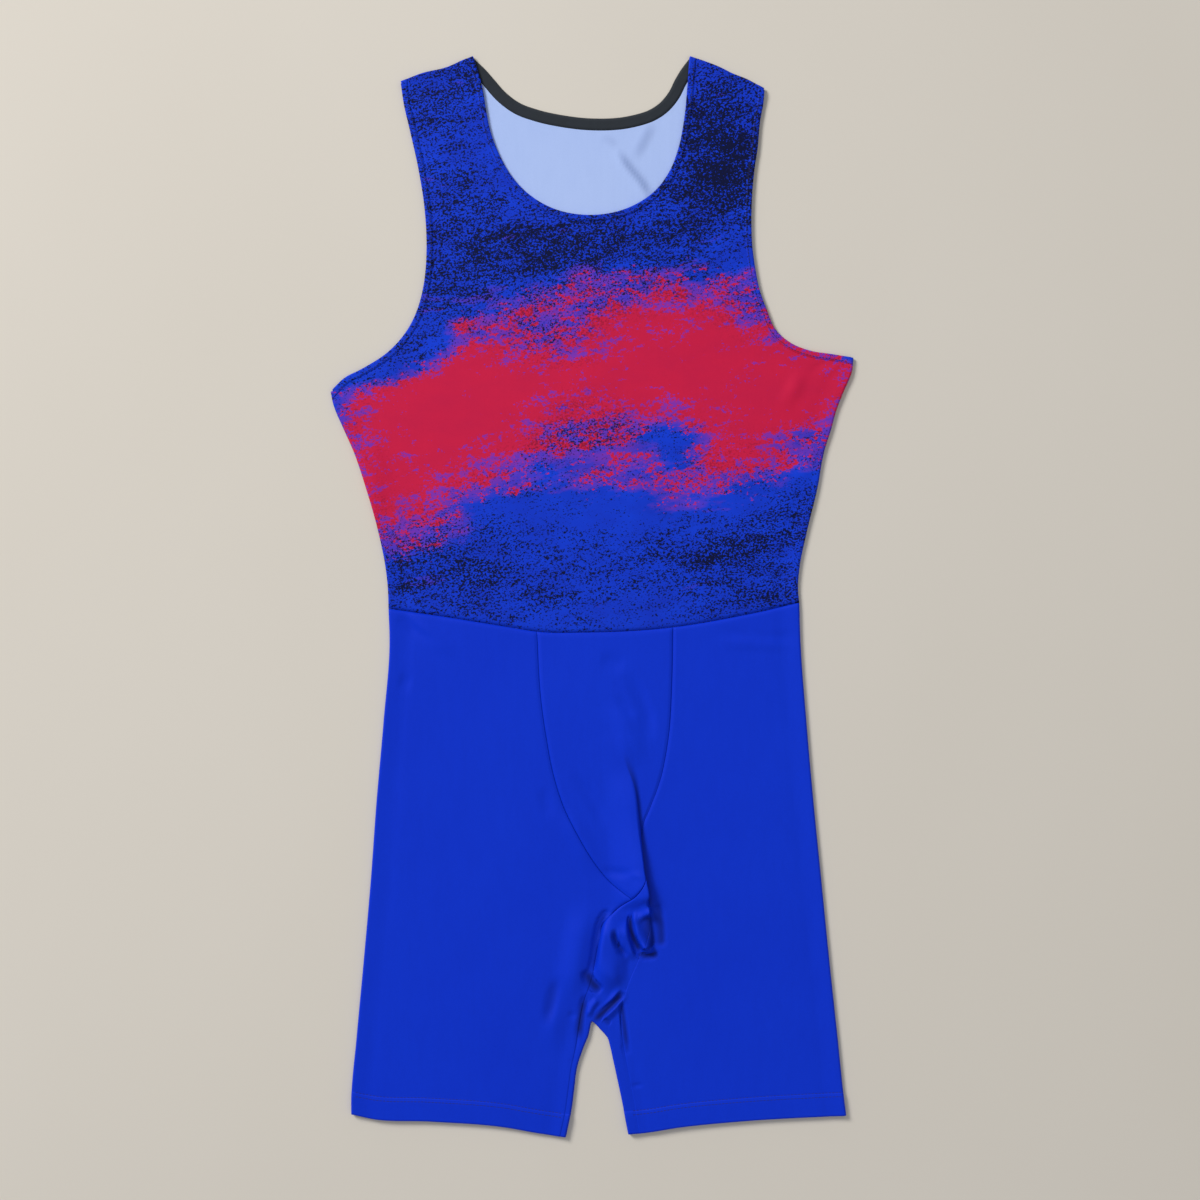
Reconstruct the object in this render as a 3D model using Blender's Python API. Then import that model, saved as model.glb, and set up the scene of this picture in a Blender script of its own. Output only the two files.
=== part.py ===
"""Track unitard laid flat with its front up: a sleeveless bodice sewn to fitted short legs.

X runs to the right as seen from above, Y towards the shoulders, Z up from the surface it lies on.
Tables and functions are in millimetres, and the meshes are made in metres.
"""

from collections import namedtuple
from dataclasses import dataclass

import bpy
import numpy as np

METRES = 0.001

# Cloth and gaps
WALL = 1.0
BAND_WALL = 1.2
HEM_WALL = 1.6
SEAM_GAP = 0.3
FOLDED_SEAM_GAP = 0.9
CORNER_GAP = 1.7
LAYER_GAP = 0.3
LAID_HEIGHT = 2 * WALL + LAYER_GAP

# Where the cloth turns from the front to the back
FOLD_RADIUS = 2.2
FOLD_PUFF = 2.1
PUFF_REACH = 20.0
QUARTER = np.pi / 2
TURN_STEPS = QUARTER * np.array([1.0, 0.72, 0.45, 0.2, 0.0])

# Edge finishes
BAND_WIDTH = 6.0
TAPE_WIDTH = 11.0
HEM_DEPTH = 20.0
HEM_RAMP = 3.0

# How finely each stretch is divided
SIDE_STEPS = 8
ARMHOLE_SHARES = np.concatenate([[0, 0.015], np.linspace(0.055, 0.945, 16), [0.985, 1]])
SHOULDER_STEPS = 4
NECK_SHARES = np.concatenate([[0, 0.012], np.linspace(0.05, 0.95, 16), [0.988, 1]])
SEAM_STEPS = 15
BAND_ARC_STEPS = 7
CURVE_STEPS = 10
FOLD_CURVE_STEPS = 4
SLOPE_STEP = 0.8
RELAX_ROUNDS = 60

# How far along a curve, in points, the direction of its end is taken
SIDE_END = 3
SHOULDER_END = 12

# Share of the front panel's foot at which the main crease meets it
CREASE_FOOT = 0.62

# Shares of a panel's width at which its columns stand, the first beside the inner seam
LEG_FRONT_COLUMNS = (0, 0.015, 0.04, 0.09, 0.17, 0.3, 0.46, 0.62, 0.78, 0.88, 0.93, 0.965, 1)
LEG_BACK_COLUMNS = (0, 0.09, 0.18, 0.28, 0.39, 0.5, 0.62, 0.74, 0.86, 0.95, 1)
GUSSET_FRONT_COLUMNS = (0, 0.2, 0.28, 0.37, 0.47, 0.58, 0.7, 0.85)
GUSSET_BACK_COLUMNS = (0, 0.45)
TO_CREASE_COLUMNS = (0, 0.25, 0.5, 0.7, 0.84, 0.93, 1)
FROM_CREASE_COLUMNS = (0, 0.16, 0.3, 0.45, 0.6, 0.78, 1)

Point = namedtuple("Point", "x y")
Gusset = namedtuple("Gusset", "front_x front_y edge_x edge_y back_x back_y")
Fold = namedtuple("Fold", "path height left_reach right_reach lean start end")

# Side edges of the bodice, from the waist seam to the underarm
LEFT_SIDE = (
    Point(-189, -11.5), Point(-189.5, 6), Point(-191.5, 25), Point(-199, 62), Point(-209.5, 99),
    Point(-222, 136), Point(-230.5, 155), Point(-241, 181), Point(-242.7, 190),
)
RIGHT_SIDE = (
    Point(192.5, -6), Point(191.3, 6), Point(192.5, 25), Point(200, 62), Point(209, 99),
    Point(216, 136), Point(222, 155), Point(227, 173), Point(234.5, 192), Point(241.5, 209),
    Point(242.7, 221.5),
)

# Armholes, from the underarm to the shoulder
LEFT_ARMHOLE = (
    Point(-242.7, 190), Point(-229.5, 203), Point(-214.8, 210.5), Point(-187, 229), Point(-171, 248),
    Point(-162, 266.5), Point(-157, 285), Point(-154.4, 303.5), Point(-153.5, 322), Point(-155.3, 359.5),
    Point(-161, 396.5), Point(-169.3, 434), Point(-174.8, 458), Point(-177.6, 478.5),
)
RIGHT_ARMHOLE = (
    Point(242.7, 221.5), Point(222, 225), Point(205, 227.5), Point(185, 235), Point(170, 248),
    Point(162, 266.5), Point(155.3, 285), Point(151.6, 303.5), Point(149, 322), Point(148, 359.5),
    Point(150.7, 396.5), Point(153.5, 415), Point(156.2, 443), Point(159, 458), Point(160, 472),
)

# Shoulders, from left to right
LEFT_SHOULDER = (
    Point(-177.6, 478.5), Point(-158, 486), Point(-135, 491.5), Point(-118, 499), Point(-110.7, 501.7),
)
RIGHT_SHOULDER = (
    Point(91.1, 501.7), Point(105, 497), Point(119, 491.5), Point(130, 486), Point(144, 480.5), Point(160, 472),
)

# Necklines, from the left shoulder to the right one
FRONT_NECK = (
    Point(-110.7, 501.7), Point(-102.5, 475), Point(-98.6, 452.5), Point(-95, 434), Point(-88.4, 415),
    Point(-79, 396.5), Point(-63, 377), Point(-37, 360.5), Point(-2, 354), Point(33, 360.5),
    Point(59, 377), Point(73, 396.5), Point(80, 415), Point(85.6, 443), Point(88.4, 471), Point(91.1, 501.7),
)
BACK_NECK = (
    Point(-110.7, 501.7), Point(-100.4, 491.5), Point(-91, 480.3), Point(-81, 469), Point(-66, 458),
    Point(-51, 452.5), Point(-26, 447), Point(-2, 444.3), Point(37, 447), Point(54, 452.5),
    Point(62.3, 458), Point(71.6, 469), Point(77.2, 480.3), Point(83.7, 491.5), Point(91.1, 501.7),
)

# Waist seam, from left to right, with the two places where the centre panel's seams meet it
WAIST = (
    Point(-189, -11.5), Point(-135, -19), Point(-104, -24), Point(-76, -28.5), Point(-51.2, -32.5),
    Point(-2, -33.3), Point(44.6, -31.5), Point(75.3, -28.5), Point(140, -17.5), Point(192.5, -6),
)
LEFT_SEAM_X = -51.2
RIGHT_SEAM_X = 75.3
BACK_SEAM_X = 0.5

# Outer edges of the legs, from the waist seam to the hem
LEFT_OUTER = (
    Point(-189, -11.5), Point(-188, -40), Point(-193.5, -115), Point(-200, -189), Point(-205.5, -264),
    Point(-212, -338), Point(-218.6, -409), Point(-223.6, -470), Point(-223.5, -480.5),
)
RIGHT_OUTER = (
    Point(192.5, -6), Point(193.5, -40), Point(199, -115), Point(205.5, -189), Point(213, -264),
    Point(220.4, -338), Point(228, -409), Point(234.5, -470), Point(236, -481.3),
)

# Hems, from left to right
LEFT_HEM = (
    Point(-223.5, -480.5), Point(-208, -484), Point(-149, -487), Point(-80, -492.5), Point(-49, -498),
    Point(-24.2, -501.7),
)
RIGHT_HEM = (
    Point(33.5, -499), Point(45.6, -498), Point(81, -492.5), Point(137, -487), Point(236, -481.3),
)

# Seams between the centre front panel and the legs, from the waist down
LEFT_FRONT_SEAM = (
    Point(-51.2, -32.5), Point(-47.4, -96), Point(-42.8, -129), Point(-34.4, -171), Point(-25.1, -198.5),
    Point(-15.8, -217), Point(7.4, -254.5), Point(32.6, -281.3),
)
RIGHT_FRONT_SEAM = (
    Point(75.3, -28.5), Point(74.4, -78), Point(70.7, -133.5), Point(63.2, -171), Point(54, -196),
    Point(47, -213.5), Point(45, -236), Point(44.5, -262),
)

# Crotch gusset, a section for each row from the left hem over the crotch to the right hem
GUSSET = (
    Gusset(-29.7, -500.8, -24.2, -501.7, -36, -500),
    Gusset(-25.6, -482, -20.0, -482, -31, -481),
    Gusset(-25.0, -479, -19.4, -479, -30.4, -478),
    Gusset(-22.2, -459, -16.7, -459, -27.6, -457),
    Gusset(-19.0, -436, -13.5, -436, -24.6, -434),
    Gusset(-15.0, -418, -7.7, -418.5, -20, -413),
    Gusset(-11.8, -397, -3.2, -407, -16, -392),
    Gusset(-7.5, -376, -1.6, -399.5, -11.5, -372),
    Gusset(-1.0, -358, -0.9, -396.6, -7, -354),
    Gusset(3.0, -338, -0.4, -395.4, -3, -340),
    Gusset(6.8, -318, 0.0, -394.9, 0.5, -329),
    Gusset(10.5, -303, 0.5, -394.9, 1.8, -329.5),
    Gusset(20.5, -292.5, 1.1, -395.3, 3, -331),
    Gusset(32.6, -281.3, 1.9, -395.9, 4.2, -333),
    Gusset(44.5, -262, 2.8, -396.7, 5.4, -336),
    Gusset(53, -286, 4.0, -397.9, 7, -341),
    Gusset(50, -312, 5.6, -399.6, 9.5, -350),
    Gusset(43, -337, 8.0, -402.4, 13, -362),
    Gusset(33.5, -360, 11.2, -405.8, 18, -374),
    Gusset(27.5, -380, 14.2, -409.6, 22, -388),
    Gusset(27.8, -408, 16.8, -418, 26, -405),
    Gusset(30.5, -426, 19.5, -430, 29, -424),
    Gusset(34.5, -446, 23, -446, 32.5, -443),
    Gusset(37, -460, 26, -460, 35.5, -458),
    Gusset(40, -476, 29.2, -476, 38.5, -475),
    Gusset(40.4, -479, 29.7, -479, 39, -478),
    Gusset(43.7, -498.1, 33.5, -499, 42, -498.2),
)
GUSSET_LEFT_TIP = 13
GUSSET_RIGHT_TIP = 14
GUSSET_BACK_TIP = 10
GUSSET_FINE = (6, 20)

# Large folds of the front layer. Height is above the laid cloth, the reaches are to the left and right
# hand of the path's run, lean is how far the top lies over to its left hand, and start and end are the
# shares of the path over which it swells and dies away.
FOLDS = {
    "main crease": Fold(
        ((22, -118), (29, -147), (34, -172), (37, -199), (38.5, -228), (41, -262), (45, -291)),
        8.5, 9.5, 26, 7.0, 0.45, 0.08,
    ),
    "gusset facet": Fold(((26, -286), (13, -314), (12, -352), (16, -372)), 5.5, 15, 12, 0, 0.35, 0.3),
    "gusset rim": Fold(((50, -281), (49, -297), (51, -322), (50, -334)), 5.5, 8, 9, 3, 0.25, 0.15),
    "gusset slot": Fold(((36, -296), (38, -315), (43, -334)), -6.0, 5, 5, 0, 0.3, 0.3),
    "crotch ridge": Fold(((30, -362), (16, -384), (6, -392)), 4.0, 9, 9, 0, 0.4, 0.3),
    "left seam swell": Fold(((-30, -196), (-12, -226), (4, -262)), 1.6, 16, 16, 0, 0.4, 0.4),
    "panel swell": Fold(((14, -96), (30, -118), (44, -160)), 1.8, 15, 17, 0, 0.4, 0.4),
    "left hip swell": Fold(((-172, -16), (-150, -36), (-122, -58)), 1.6, 13, 13, 0, 0.4, 0.5),
    "right hip swell": Fold(((108, -42), (150, -40), (186, -44)), 1.4, 12, 12, 0, 0.5, 0.3),
    "left inner leg swell": Fold(((-24, -362), (-34, -392), (-40, -428)), 1.6, 14, 14, 0, 0.5, 0.5),
    "left flank swell": Fold(((-216, 160), (-200, 122), (-184, 84)), 1.6, 12, 12, 0, 0.5, 0.5),
    "right flank swell": Fold(((212, 150), (196, 116), (190, 84)), 1.4, 12, 12, 0, 0.5, 0.5),
    "right armhole pucker": Fold(((196, 214), (186, 190), (172, 170)), 1.4, 11, 11, 0, 0.4, 0.6),
}

Finish = namedtuple("Finish", "colour roughness")
PRINTED_KNIT = Finish((0.06, 0.05, 0.42), 0.62)
ROYAL_KNIT = Finish((0.006, 0.035, 0.60), 0.58)
BAND_KNIT = Finish((0.03, 0.05, 0.35), 0.62)
DARK_TAPE = Finish((0.02, 0.026, 0.045), 0.7)


@dataclass
class Plan:
    """A grid of points seen from above, with the angle each has turned over a fold and which way is out.

    The angle is a quarter turn on the front layer, nothing at the fold's outermost line and minus a
    quarter turn on the back layer.
    """

    xy: np.ndarray
    turn: np.ndarray
    out: np.ndarray

    def each(self, change):
        return Plan(change(self.xy), change(self.turn), change(self.out))


def swap(grid):
    """The grid with its rows as columns."""
    return np.swapaxes(grid, 0, 1)


def mirror(grid):
    """The grid with its columns the other way round."""
    return grid[:, ::-1]


def ease(share):
    """A smooth rise from 0 to 1 as the share goes from 0 to 1."""
    held = np.clip(share, 0.0, 1.0)
    return held * held * (3 - 2 * held)


def smooth(points, steps=CURVE_STEPS):
    """Points along a smooth curve through a table's points, so many for each span."""
    knots = np.array([point[:2] for point in points], float)
    lengths = np.linalg.norm(np.diff(knots, axis=0), axis=1)
    places = np.concatenate([[0], np.cumsum(lengths)])
    slopes = np.gradient(knots, places, axis=0)
    curve = [knots[:1]]
    for start in range(len(knots) - 1):
        share = (np.arange(1, steps + 1) / steps)[:, None]
        span = lengths[start]
        curve.append(
            (1 + 2 * share) * (1 - share) ** 2 * knots[start]
            + share * (1 - share) ** 2 * span * slopes[start]
            + share**2 * (3 - 2 * share) * knots[start + 1]
            + share**2 * (share - 1) * span * slopes[start + 1]
        )
    return np.concatenate(curve)


def shares_of(line):
    """How much of the line's length lies before each of its points."""
    lengths = np.linalg.norm(np.diff(line, axis=0), axis=1)
    places = np.concatenate([[0], np.cumsum(lengths)])
    return places / places[-1]


def length_of(line):
    return np.linalg.norm(np.diff(line, axis=0), axis=1).sum()


def at(line, shares):
    """The points of a line at these shares of its length."""
    known = shares_of(line)
    return np.stack([np.interp(shares, known, line[:, axis]) for axis in (0, 1)], axis=-1)


def between_x(line, low, high, shares):
    """The points of a line that runs to the right, at these shares of its stretch from low to high."""
    x = low + (high - low) * np.asarray(shares)
    return np.stack([x, np.interp(x, line[:, 0], line[:, 1])], axis=-1)


def hand_of(line, hand):
    """Unit directions square to the line, to its left hand for 1 and to its right hand for -1."""
    run = np.gradient(line, axis=0)
    square = np.stack([-run[:, 1], run[:, 0]], axis=-1) * hand
    return square / np.linalg.norm(square, axis=-1, keepdims=True)


def inward(edge, inside):
    """Unit directions square to an edge, to the side where the inside points lie."""
    square = hand_of(edge, 1)
    return square * np.sign(np.sum(square * (inside - edge)))


def nearest(xy, line):
    """Signed distance to a line, positive on its left hand, with the share along it and the left hand there."""
    starts = line[:-1]
    runs = line[1:] - starts
    offsets = xy[..., None, :] - starts
    along = np.sum(offsets * runs, axis=-1) / np.sum(runs * runs, axis=-1)
    held = np.clip(along, 0, 1)
    distance = np.linalg.norm(offsets - held[..., None] * runs, axis=-1)
    closest = np.argmin(distance, axis=-1)
    pick = closest[..., None]
    span = np.linalg.norm(runs, axis=1)
    left = np.stack([-runs[:, 1], runs[:, 0]], axis=-1) / span[:, None]
    side = np.sign(np.sum(offsets * left, axis=-1))
    before = np.concatenate([[0], np.cumsum(span)])
    share = (before[closest] + np.take_along_axis(held, pick, -1)[..., 0] * span[closest]) / before[-1]
    signed = np.take_along_axis(distance * side, pick, -1)[..., 0]
    return signed, share, left[closest]


def gusset_stations():
    """Which sections of the gusset are cut: every row of the table, and halfway ones over the crotch."""
    first, last = GUSSET_FINE
    return np.concatenate(
        [np.arange(first), np.arange(first, last, 0.5), np.arange(last, len(GUSSET))]
    )


def gusset_line(column):
    """One lengthwise line of the gusset, by the first of its two table columns, at the cut sections."""
    knots = np.array([[row[column], row[column + 1]] for row in GUSSET])
    curve = smooth(knots)
    return curve[np.round(gusset_stations() * CURVE_STEPS).astype(int)]


def station_at(row):
    """The index among the cut sections of a row of the gusset's table."""
    return int(np.argmin(abs(gusset_stations() - row)))


WAIST_LINE = smooth(WAIST)
HEM_LINE = np.concatenate([smooth(LEFT_HEM), smooth(RIGHT_HEM)])
EDGE_LINE = gusset_line(2)
FOLDED_EDGES = [
    np.concatenate([smooth(LEFT_OUTER)[::-1], smooth(LEFT_SIDE)[1:]]),
    np.concatenate([smooth(RIGHT_OUTER)[::-1], smooth(RIGHT_SIDE)[1:]]),
    smooth(LEFT_SHOULDER),
    smooth(RIGHT_SHOULDER),
    EDGE_LINE,
]
FOLD_LINES = {name: smooth(fold.path, FOLD_CURVE_STEPS) for name, fold in FOLDS.items()}


def hem_share(xy):
    """1 where the cloth is turned up double at a hem, 0 above it."""
    above = xy[..., 1] - np.interp(xy[..., 0], HEM_LINE[:, 0], HEM_LINE[:, 1])
    return ease((HEM_DEPTH + HEM_RAMP - above) / HEM_RAMP)


def folded(xy):
    """How far the folds lift the front layer at each point, and how far they push it sideways."""
    lift = np.zeros(xy.shape[:-1])
    push = np.zeros(xy.shape)
    for name, fold in FOLDS.items():
        distance, share, left = nearest(xy, FOLD_LINES[name])
        reach = np.where(distance > 0, fold.left_reach, fold.right_reach)
        swell = ease(1 - abs(distance) / reach) * ease(share / fold.start) * ease((1 - share) / fold.end)
        lift += fold.height * swell
        push += left * (fold.lean * swell)[..., None]
    return np.maximum(lift, 0), push


def puff(xy):
    """How far the cloth stands up beside its folded edges."""
    distance = np.min([abs(nearest(xy, edge)[0]) for edge in FOLDED_EDGES], axis=0)
    return FOLD_PUFF * ease(1 - distance / PUFF_REACH)


def front_points(xy):
    """The front layer's outer surface over these points of the plan."""
    lift, push = folded(xy)
    top = LAID_HEIGHT + puff(xy) + lift + 2 * (HEM_WALL - WALL) * hem_share(xy)
    return np.concatenate([xy + push, top[..., None]], axis=-1)


def unit(vectors):
    return vectors / np.linalg.norm(vectors, axis=-1, keepdims=True)


def front_facing(xy):
    """Which way the front layer's outer surface faces over these points of the plan."""
    step_x = np.array([SLOPE_STEP, 0])
    step_y = np.array([0, SLOPE_STEP])
    along_x = front_points(xy + step_x) - front_points(xy - step_x)
    along_y = front_points(xy + step_y) - front_points(xy - step_y)
    return unit(np.cross(along_x, along_y))


def surfaces(plan, layer=0, wall=WALL, lift=0.0):
    """A piece's outer and inner points over its plan.

    The layer is 1 for a front piece and -1 for a back piece, which stop at mid height with half the
    seam's gap, and 0 for a piece that turns right over the fold.
    """
    xy = plan.xy
    turn = plan.turn
    front = np.maximum(np.sin(turn), 0)
    laid = front_points(xy)
    top = laid[..., 2:] + lift
    gap = SEAM_GAP * abs(layer)
    half = (top - gap) / 2
    middle = (top + layer * gap) / 2
    place = xy + (laid[..., :2] - xy) * front
    outer = np.concatenate([place, middle + half * np.sin(turn)], axis=-1)
    down = np.array([0, 0, -1.0])
    face = np.where(turn > 0, front_facing(xy), down)
    aside = np.concatenate([plan.out, np.zeros(turn.shape)], axis=-1)
    facing = unit(face * abs(np.sin(turn)) * FOLD_RADIUS + aside * np.cos(turn) * half)
    depth = wall + (HEM_WALL - WALL) * hem_share(xy)[..., None]
    return outer, outer - facing * depth


def patch(bottom, top, left, right):
    """A grid blended between four edges that share their corners, its rows from bottom to top."""
    across = ((shares_of(bottom) + shares_of(top)) / 2)[None, :, None]
    up = ((shares_of(left) + shares_of(right)) / 2)[:, None, None]
    sides = (1 - across) * left[:, None] + across * right[:, None]
    ends = (1 - up) * bottom[None] + up * top[None]
    low = (1 - across) * bottom[0] + across * bottom[-1]
    high = (1 - across) * top[0] + across * top[-1]
    return sides + ends - (1 - up) * low - up * high


def relaxed(grid):
    """The grid with its inner points drawn to where its rows and columns cross evenly and never fold."""
    xy = grid.copy()
    for _ in range(RELAX_ROUNDS):
        down = (xy[2:, 1:-1] - xy[:-2, 1:-1]) / 2
        right = (xy[1:-1, 2:] - xy[1:-1, :-2]) / 2
        twist = xy[2:, 2:] - xy[:-2, 2:] - xy[2:, :-2] + xy[:-2, :-2]
        row_pull = np.sum(right**2, axis=-1, keepdims=True)
        column_pull = np.sum(down**2, axis=-1, keepdims=True)
        skew = np.sum(down * right, axis=-1, keepdims=True) / 2
        rows = row_pull * (xy[2:, 1:-1] + xy[:-2, 1:-1])
        columns = column_pull * (xy[1:-1, 2:] + xy[1:-1, :-2])
        xy[1:-1, 1:-1] = (rows + columns - skew * twist) / (2 * (row_pull + column_pull))
    return xy


def laid(xy, layer=1):
    """A plan with no turn in it, on the front layer or on the back one."""
    turn = np.full(xy.shape[:-1] + (1,), QUARTER * layer)
    return Plan(xy, turn, np.zeros(xy.shape))


def drawn_in(plan, gap=SEAM_GAP):
    """The plan with its last column moved in by half a seam's gap."""
    xy = plan.xy.copy()
    xy[:, -1] += inward(xy[:, -1], xy[:, -2]) * gap / 2
    return Plan(xy, plan.turn, plan.out)


def turned_down(plan, rows, layer=1):
    """The plan with its last column made into several, which turn over the fold in the given rows."""
    edge = plan.xy[:, -1]
    into = inward(edge, plan.xy[:, -2])
    steps = TURN_STEPS[None, :, None]
    xy = edge[:, None] + into[:, None] * FOLD_RADIUS * (1 - np.cos(steps))
    turn = layer * (QUARTER - np.asarray(rows, float)[:, None, None] * (QUARTER - steps))
    out = np.broadcast_to(-into[:, None], xy.shape)
    return Plan(
        np.concatenate([plan.xy[:, :-1], xy], axis=1),
        np.concatenate([plan.turn[:, :-1], turn], axis=1),
        np.concatenate([plan.out[:, :-1], out], axis=1),
    )


def new_object(name, points, faces, finish):
    """An object with its own material, from points in millimetres and faces that all face one way."""
    corners = np.array([points[list(face)] for face in faces])
    fans = [corners[:, (0, 1, 2)], corners[:, (0, 2, 3)]]
    if sum(np.linalg.det(fan).sum() for fan in fans) < 0:
        faces = [face[::-1] for face in faces]
    mesh = bpy.data.meshes.new(name)
    mesh.from_pydata((points * METRES).tolist(), [], [tuple(int(i) for i in face) for face in faces])
    mesh.polygons.foreach_set("use_smooth", [True] * len(mesh.polygons))
    mesh.set_sharp_from_angle(angle=QUARTER / 2)
    material = bpy.data.materials.new(name)
    material.use_nodes = True
    shader = material.node_tree.nodes["Principled BSDF"]
    shader.inputs["Base Color"].default_value = (*finish.colour, 1)
    shader.inputs["Roughness"].default_value = finish.roughness
    mesh.materials.append(material)
    made = bpy.data.objects.new(name, mesh)
    bpy.context.scene.collection.objects.link(made)
    return made


def cloth(name, outer, inner, finish, ring=False):
    """A wall of cloth between two grids of points, closed at its rims. A ring's last row meets its first."""
    rows, columns = outer.shape[:2]
    index = np.arange(rows * columns).reshape(rows, columns)
    below = index.size
    if ring:
        index = np.concatenate([index, index[:1]])
    face = np.stack([index[:-1, :-1], index[:-1, 1:], index[1:, 1:], index[1:, :-1]], axis=-1).reshape(-1, 4)
    rims = [
        np.stack([index[:-1, -1], index[1:, -1]], axis=-1),
        np.stack([index[1:, 0], index[:-1, 0]], axis=-1),
    ]
    if not ring:
        rims.append(np.stack([index[0, :-1], index[0, 1:]], axis=-1))
        rims.append(np.stack([index[-1, 1:], index[-1, :-1]], axis=-1))
    edges = np.concatenate(rims)
    sides = np.stack([edges[:, 1], edges[:, 0], edges[:, 0] + below, edges[:, 1] + below], axis=-1)
    faces = np.concatenate([face, face[:, ::-1] + below, sides])
    points = np.concatenate([outer.reshape(-1, 3), inner.reshape(-1, 3)])
    return new_object(name, points, [tuple(row) for row in faces], finish)


@dataclass
class Armhole:
    """One armhole: its edge, which way is into the cloth at each place, and which way is out at its ends."""

    edge: np.ndarray
    into: np.ndarray
    side_out: np.ndarray
    shoulder_out: np.ndarray


def armhole(edge, side, shoulder, hand):
    """An armhole from tables of its edge, the side up to it and the shoulder away from it."""
    points = at(smooth(edge), ARMHOLE_SHARES)
    into = hand_of(points, hand)
    side_line = smooth(side)[::-1]
    shoulder_line = smooth(shoulder)
    into[0] = unit(side_line[SIDE_END] - side_line[0])
    into[-1] = unit(shoulder_line[SIDE_END] - shoulder_line[0])
    side_out = unit(np.array([into[0, 1], -into[0, 0]]) * hand)
    shoulder_out = unit(np.array([-into[-1, 1], into[-1, 0]]) * hand)
    return Armhole(points, into, -side_out, -shoulder_out)


def armhole_band(name, hole):
    """The band that turns an armhole's raw edge: along the front, over the shoulder and down the back."""
    starts = hole.edge.copy()
    starts[0] -= hole.side_out * FOLD_RADIUS
    starts[-1] -= hole.shoulder_out * FOLD_RADIUS
    arc = np.linspace(1, -1, BAND_ARC_STEPS)[1:-1] * QUARTER
    runs = [
        (starts, hole.into, np.full(len(starts), QUARTER), hole.shoulder_out),
        ([starts[-1]] * len(arc), [hole.into[-1]] * len(arc), arc, hole.shoulder_out),
        (starts[::-1], hole.into[::-1], np.full(len(starts), -QUARTER), hole.shoulder_out),
        ([starts[0]] * len(arc), [hole.into[0]] * len(arc), arc[::-1], hole.side_out),
    ]
    stations = []
    for places, intos, turns, out in runs:
        for place, into, turn in zip(places, intos, turns):
            foot = place + out * FOLD_RADIUS * np.cos(turn)
            stations.append((foot, foot + into * BAND_WIDTH, turn, out))
    xy = np.array([[station[0], station[1]] for station in stations])
    turn = np.array([[[station[2]], [station[2]]] for station in stations])
    out = np.array([[station[3], station[3]] for station in stations])
    outer, inner = surfaces(Plan(xy, turn, out), 0, BAND_WALL, 2 * (BAND_WALL - WALL))
    return cloth(name, outer, inner, BAND_KNIT, ring=True)


def neck_edge(table, width):
    """A neckline's points, the panel's edge beside its strip of this width, and the ways into the cloth."""
    points = at(smooth(table), NECK_SHARES)
    into = hand_of(points, -1)
    left = smooth(LEFT_SHOULDER)[::-1]
    right = smooth(RIGHT_SHOULDER)
    into[0] = unit(left[SHOULDER_END] - left[0])
    into[-1] = unit(right[SHOULDER_END] - right[0])
    reach = np.full((len(points), 1), width + SEAM_GAP)
    reach[[0, -1]] = width + CORNER_GAP
    return points, points + into * reach, into


def neck_strip(name, table, width, layer, finish):
    """The strip along one neckline, turned down over the shoulder line at both ends."""
    points, _, into = neck_edge(table, width)
    xy = np.stack([points, points + into * width], axis=0)
    plan = turned_down(laid(xy, layer), [1, 1], layer)
    plan = turned_down(plan.each(mirror), [1, 1], layer)
    lift = 2 * (BAND_WALL - WALL)
    outer, inner = surfaces(plan, layer, BAND_WALL, lift)
    return cloth(name, outer, inner, finish)


def bodice(name, neck_table, strip_width, layer, holes):
    """The front or back of the bodice, from the waist seam to the shoulders and the neckline."""
    band = BAND_WIDTH + SEAM_GAP
    corner = BAND_WIDTH + CORNER_GAP
    sides = []
    for side, hole in zip((LEFT_SIDE, RIGHT_SIDE), holes):
        line = smooth(side)
        whole = length_of(line)
        rising = at(line, np.linspace(0, 1 - corner / whole, SIDE_STEPS + 1))
        shoulder_corner = hole.edge[-1] + hole.into[-1] * corner
        sides.append(np.concatenate([rising, (hole.edge + hole.into * band)[1:-1], [shoulder_corner]]))
    _, neck, _ = neck_edge(neck_table, strip_width)
    left = smooth(LEFT_SHOULDER)
    right = smooth(RIGHT_SHOULDER)
    shares = np.linspace(0, 1, SHOULDER_STEPS + 1)
    left_top = between_x(left, sides[0][-1, 0], neck[0, 0], shares)
    right_top = between_x(right, neck[-1, 0], sides[1][-1, 0], shares)
    top = np.concatenate([left_top, neck[1:-1], right_top])
    bottom = between_x(WAIST_LINE, WAIST[0].x, WAIST[-1].x, (shares_of(top) + np.linspace(0, 1, len(top))) / 2)
    sides[0][-1], sides[1][-1] = top[0], top[-1]
    plan = laid(relaxed(patch(bottom, top, *sides)), layer)
    rolled = np.arange(len(sides[0])) <= SIDE_STEPS
    for _ in sides:
        plan = turned_down(plan.each(mirror), rolled, layer)
    across = plan.xy.shape[1]
    fold_columns = len(TURN_STEPS) - 1 + SHOULDER_STEPS
    places = np.arange(across)
    shoulders = (places <= fold_columns) | (places >= across - 1 - fold_columns)
    plan = turned_down(plan.each(swap), shoulders, layer)
    plan = drawn_in(plan.each(mirror)).each(swap)
    outer, inner = surfaces(plan, layer)
    return cloth(name, outer, inner, PRINTED_KNIT)


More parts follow.
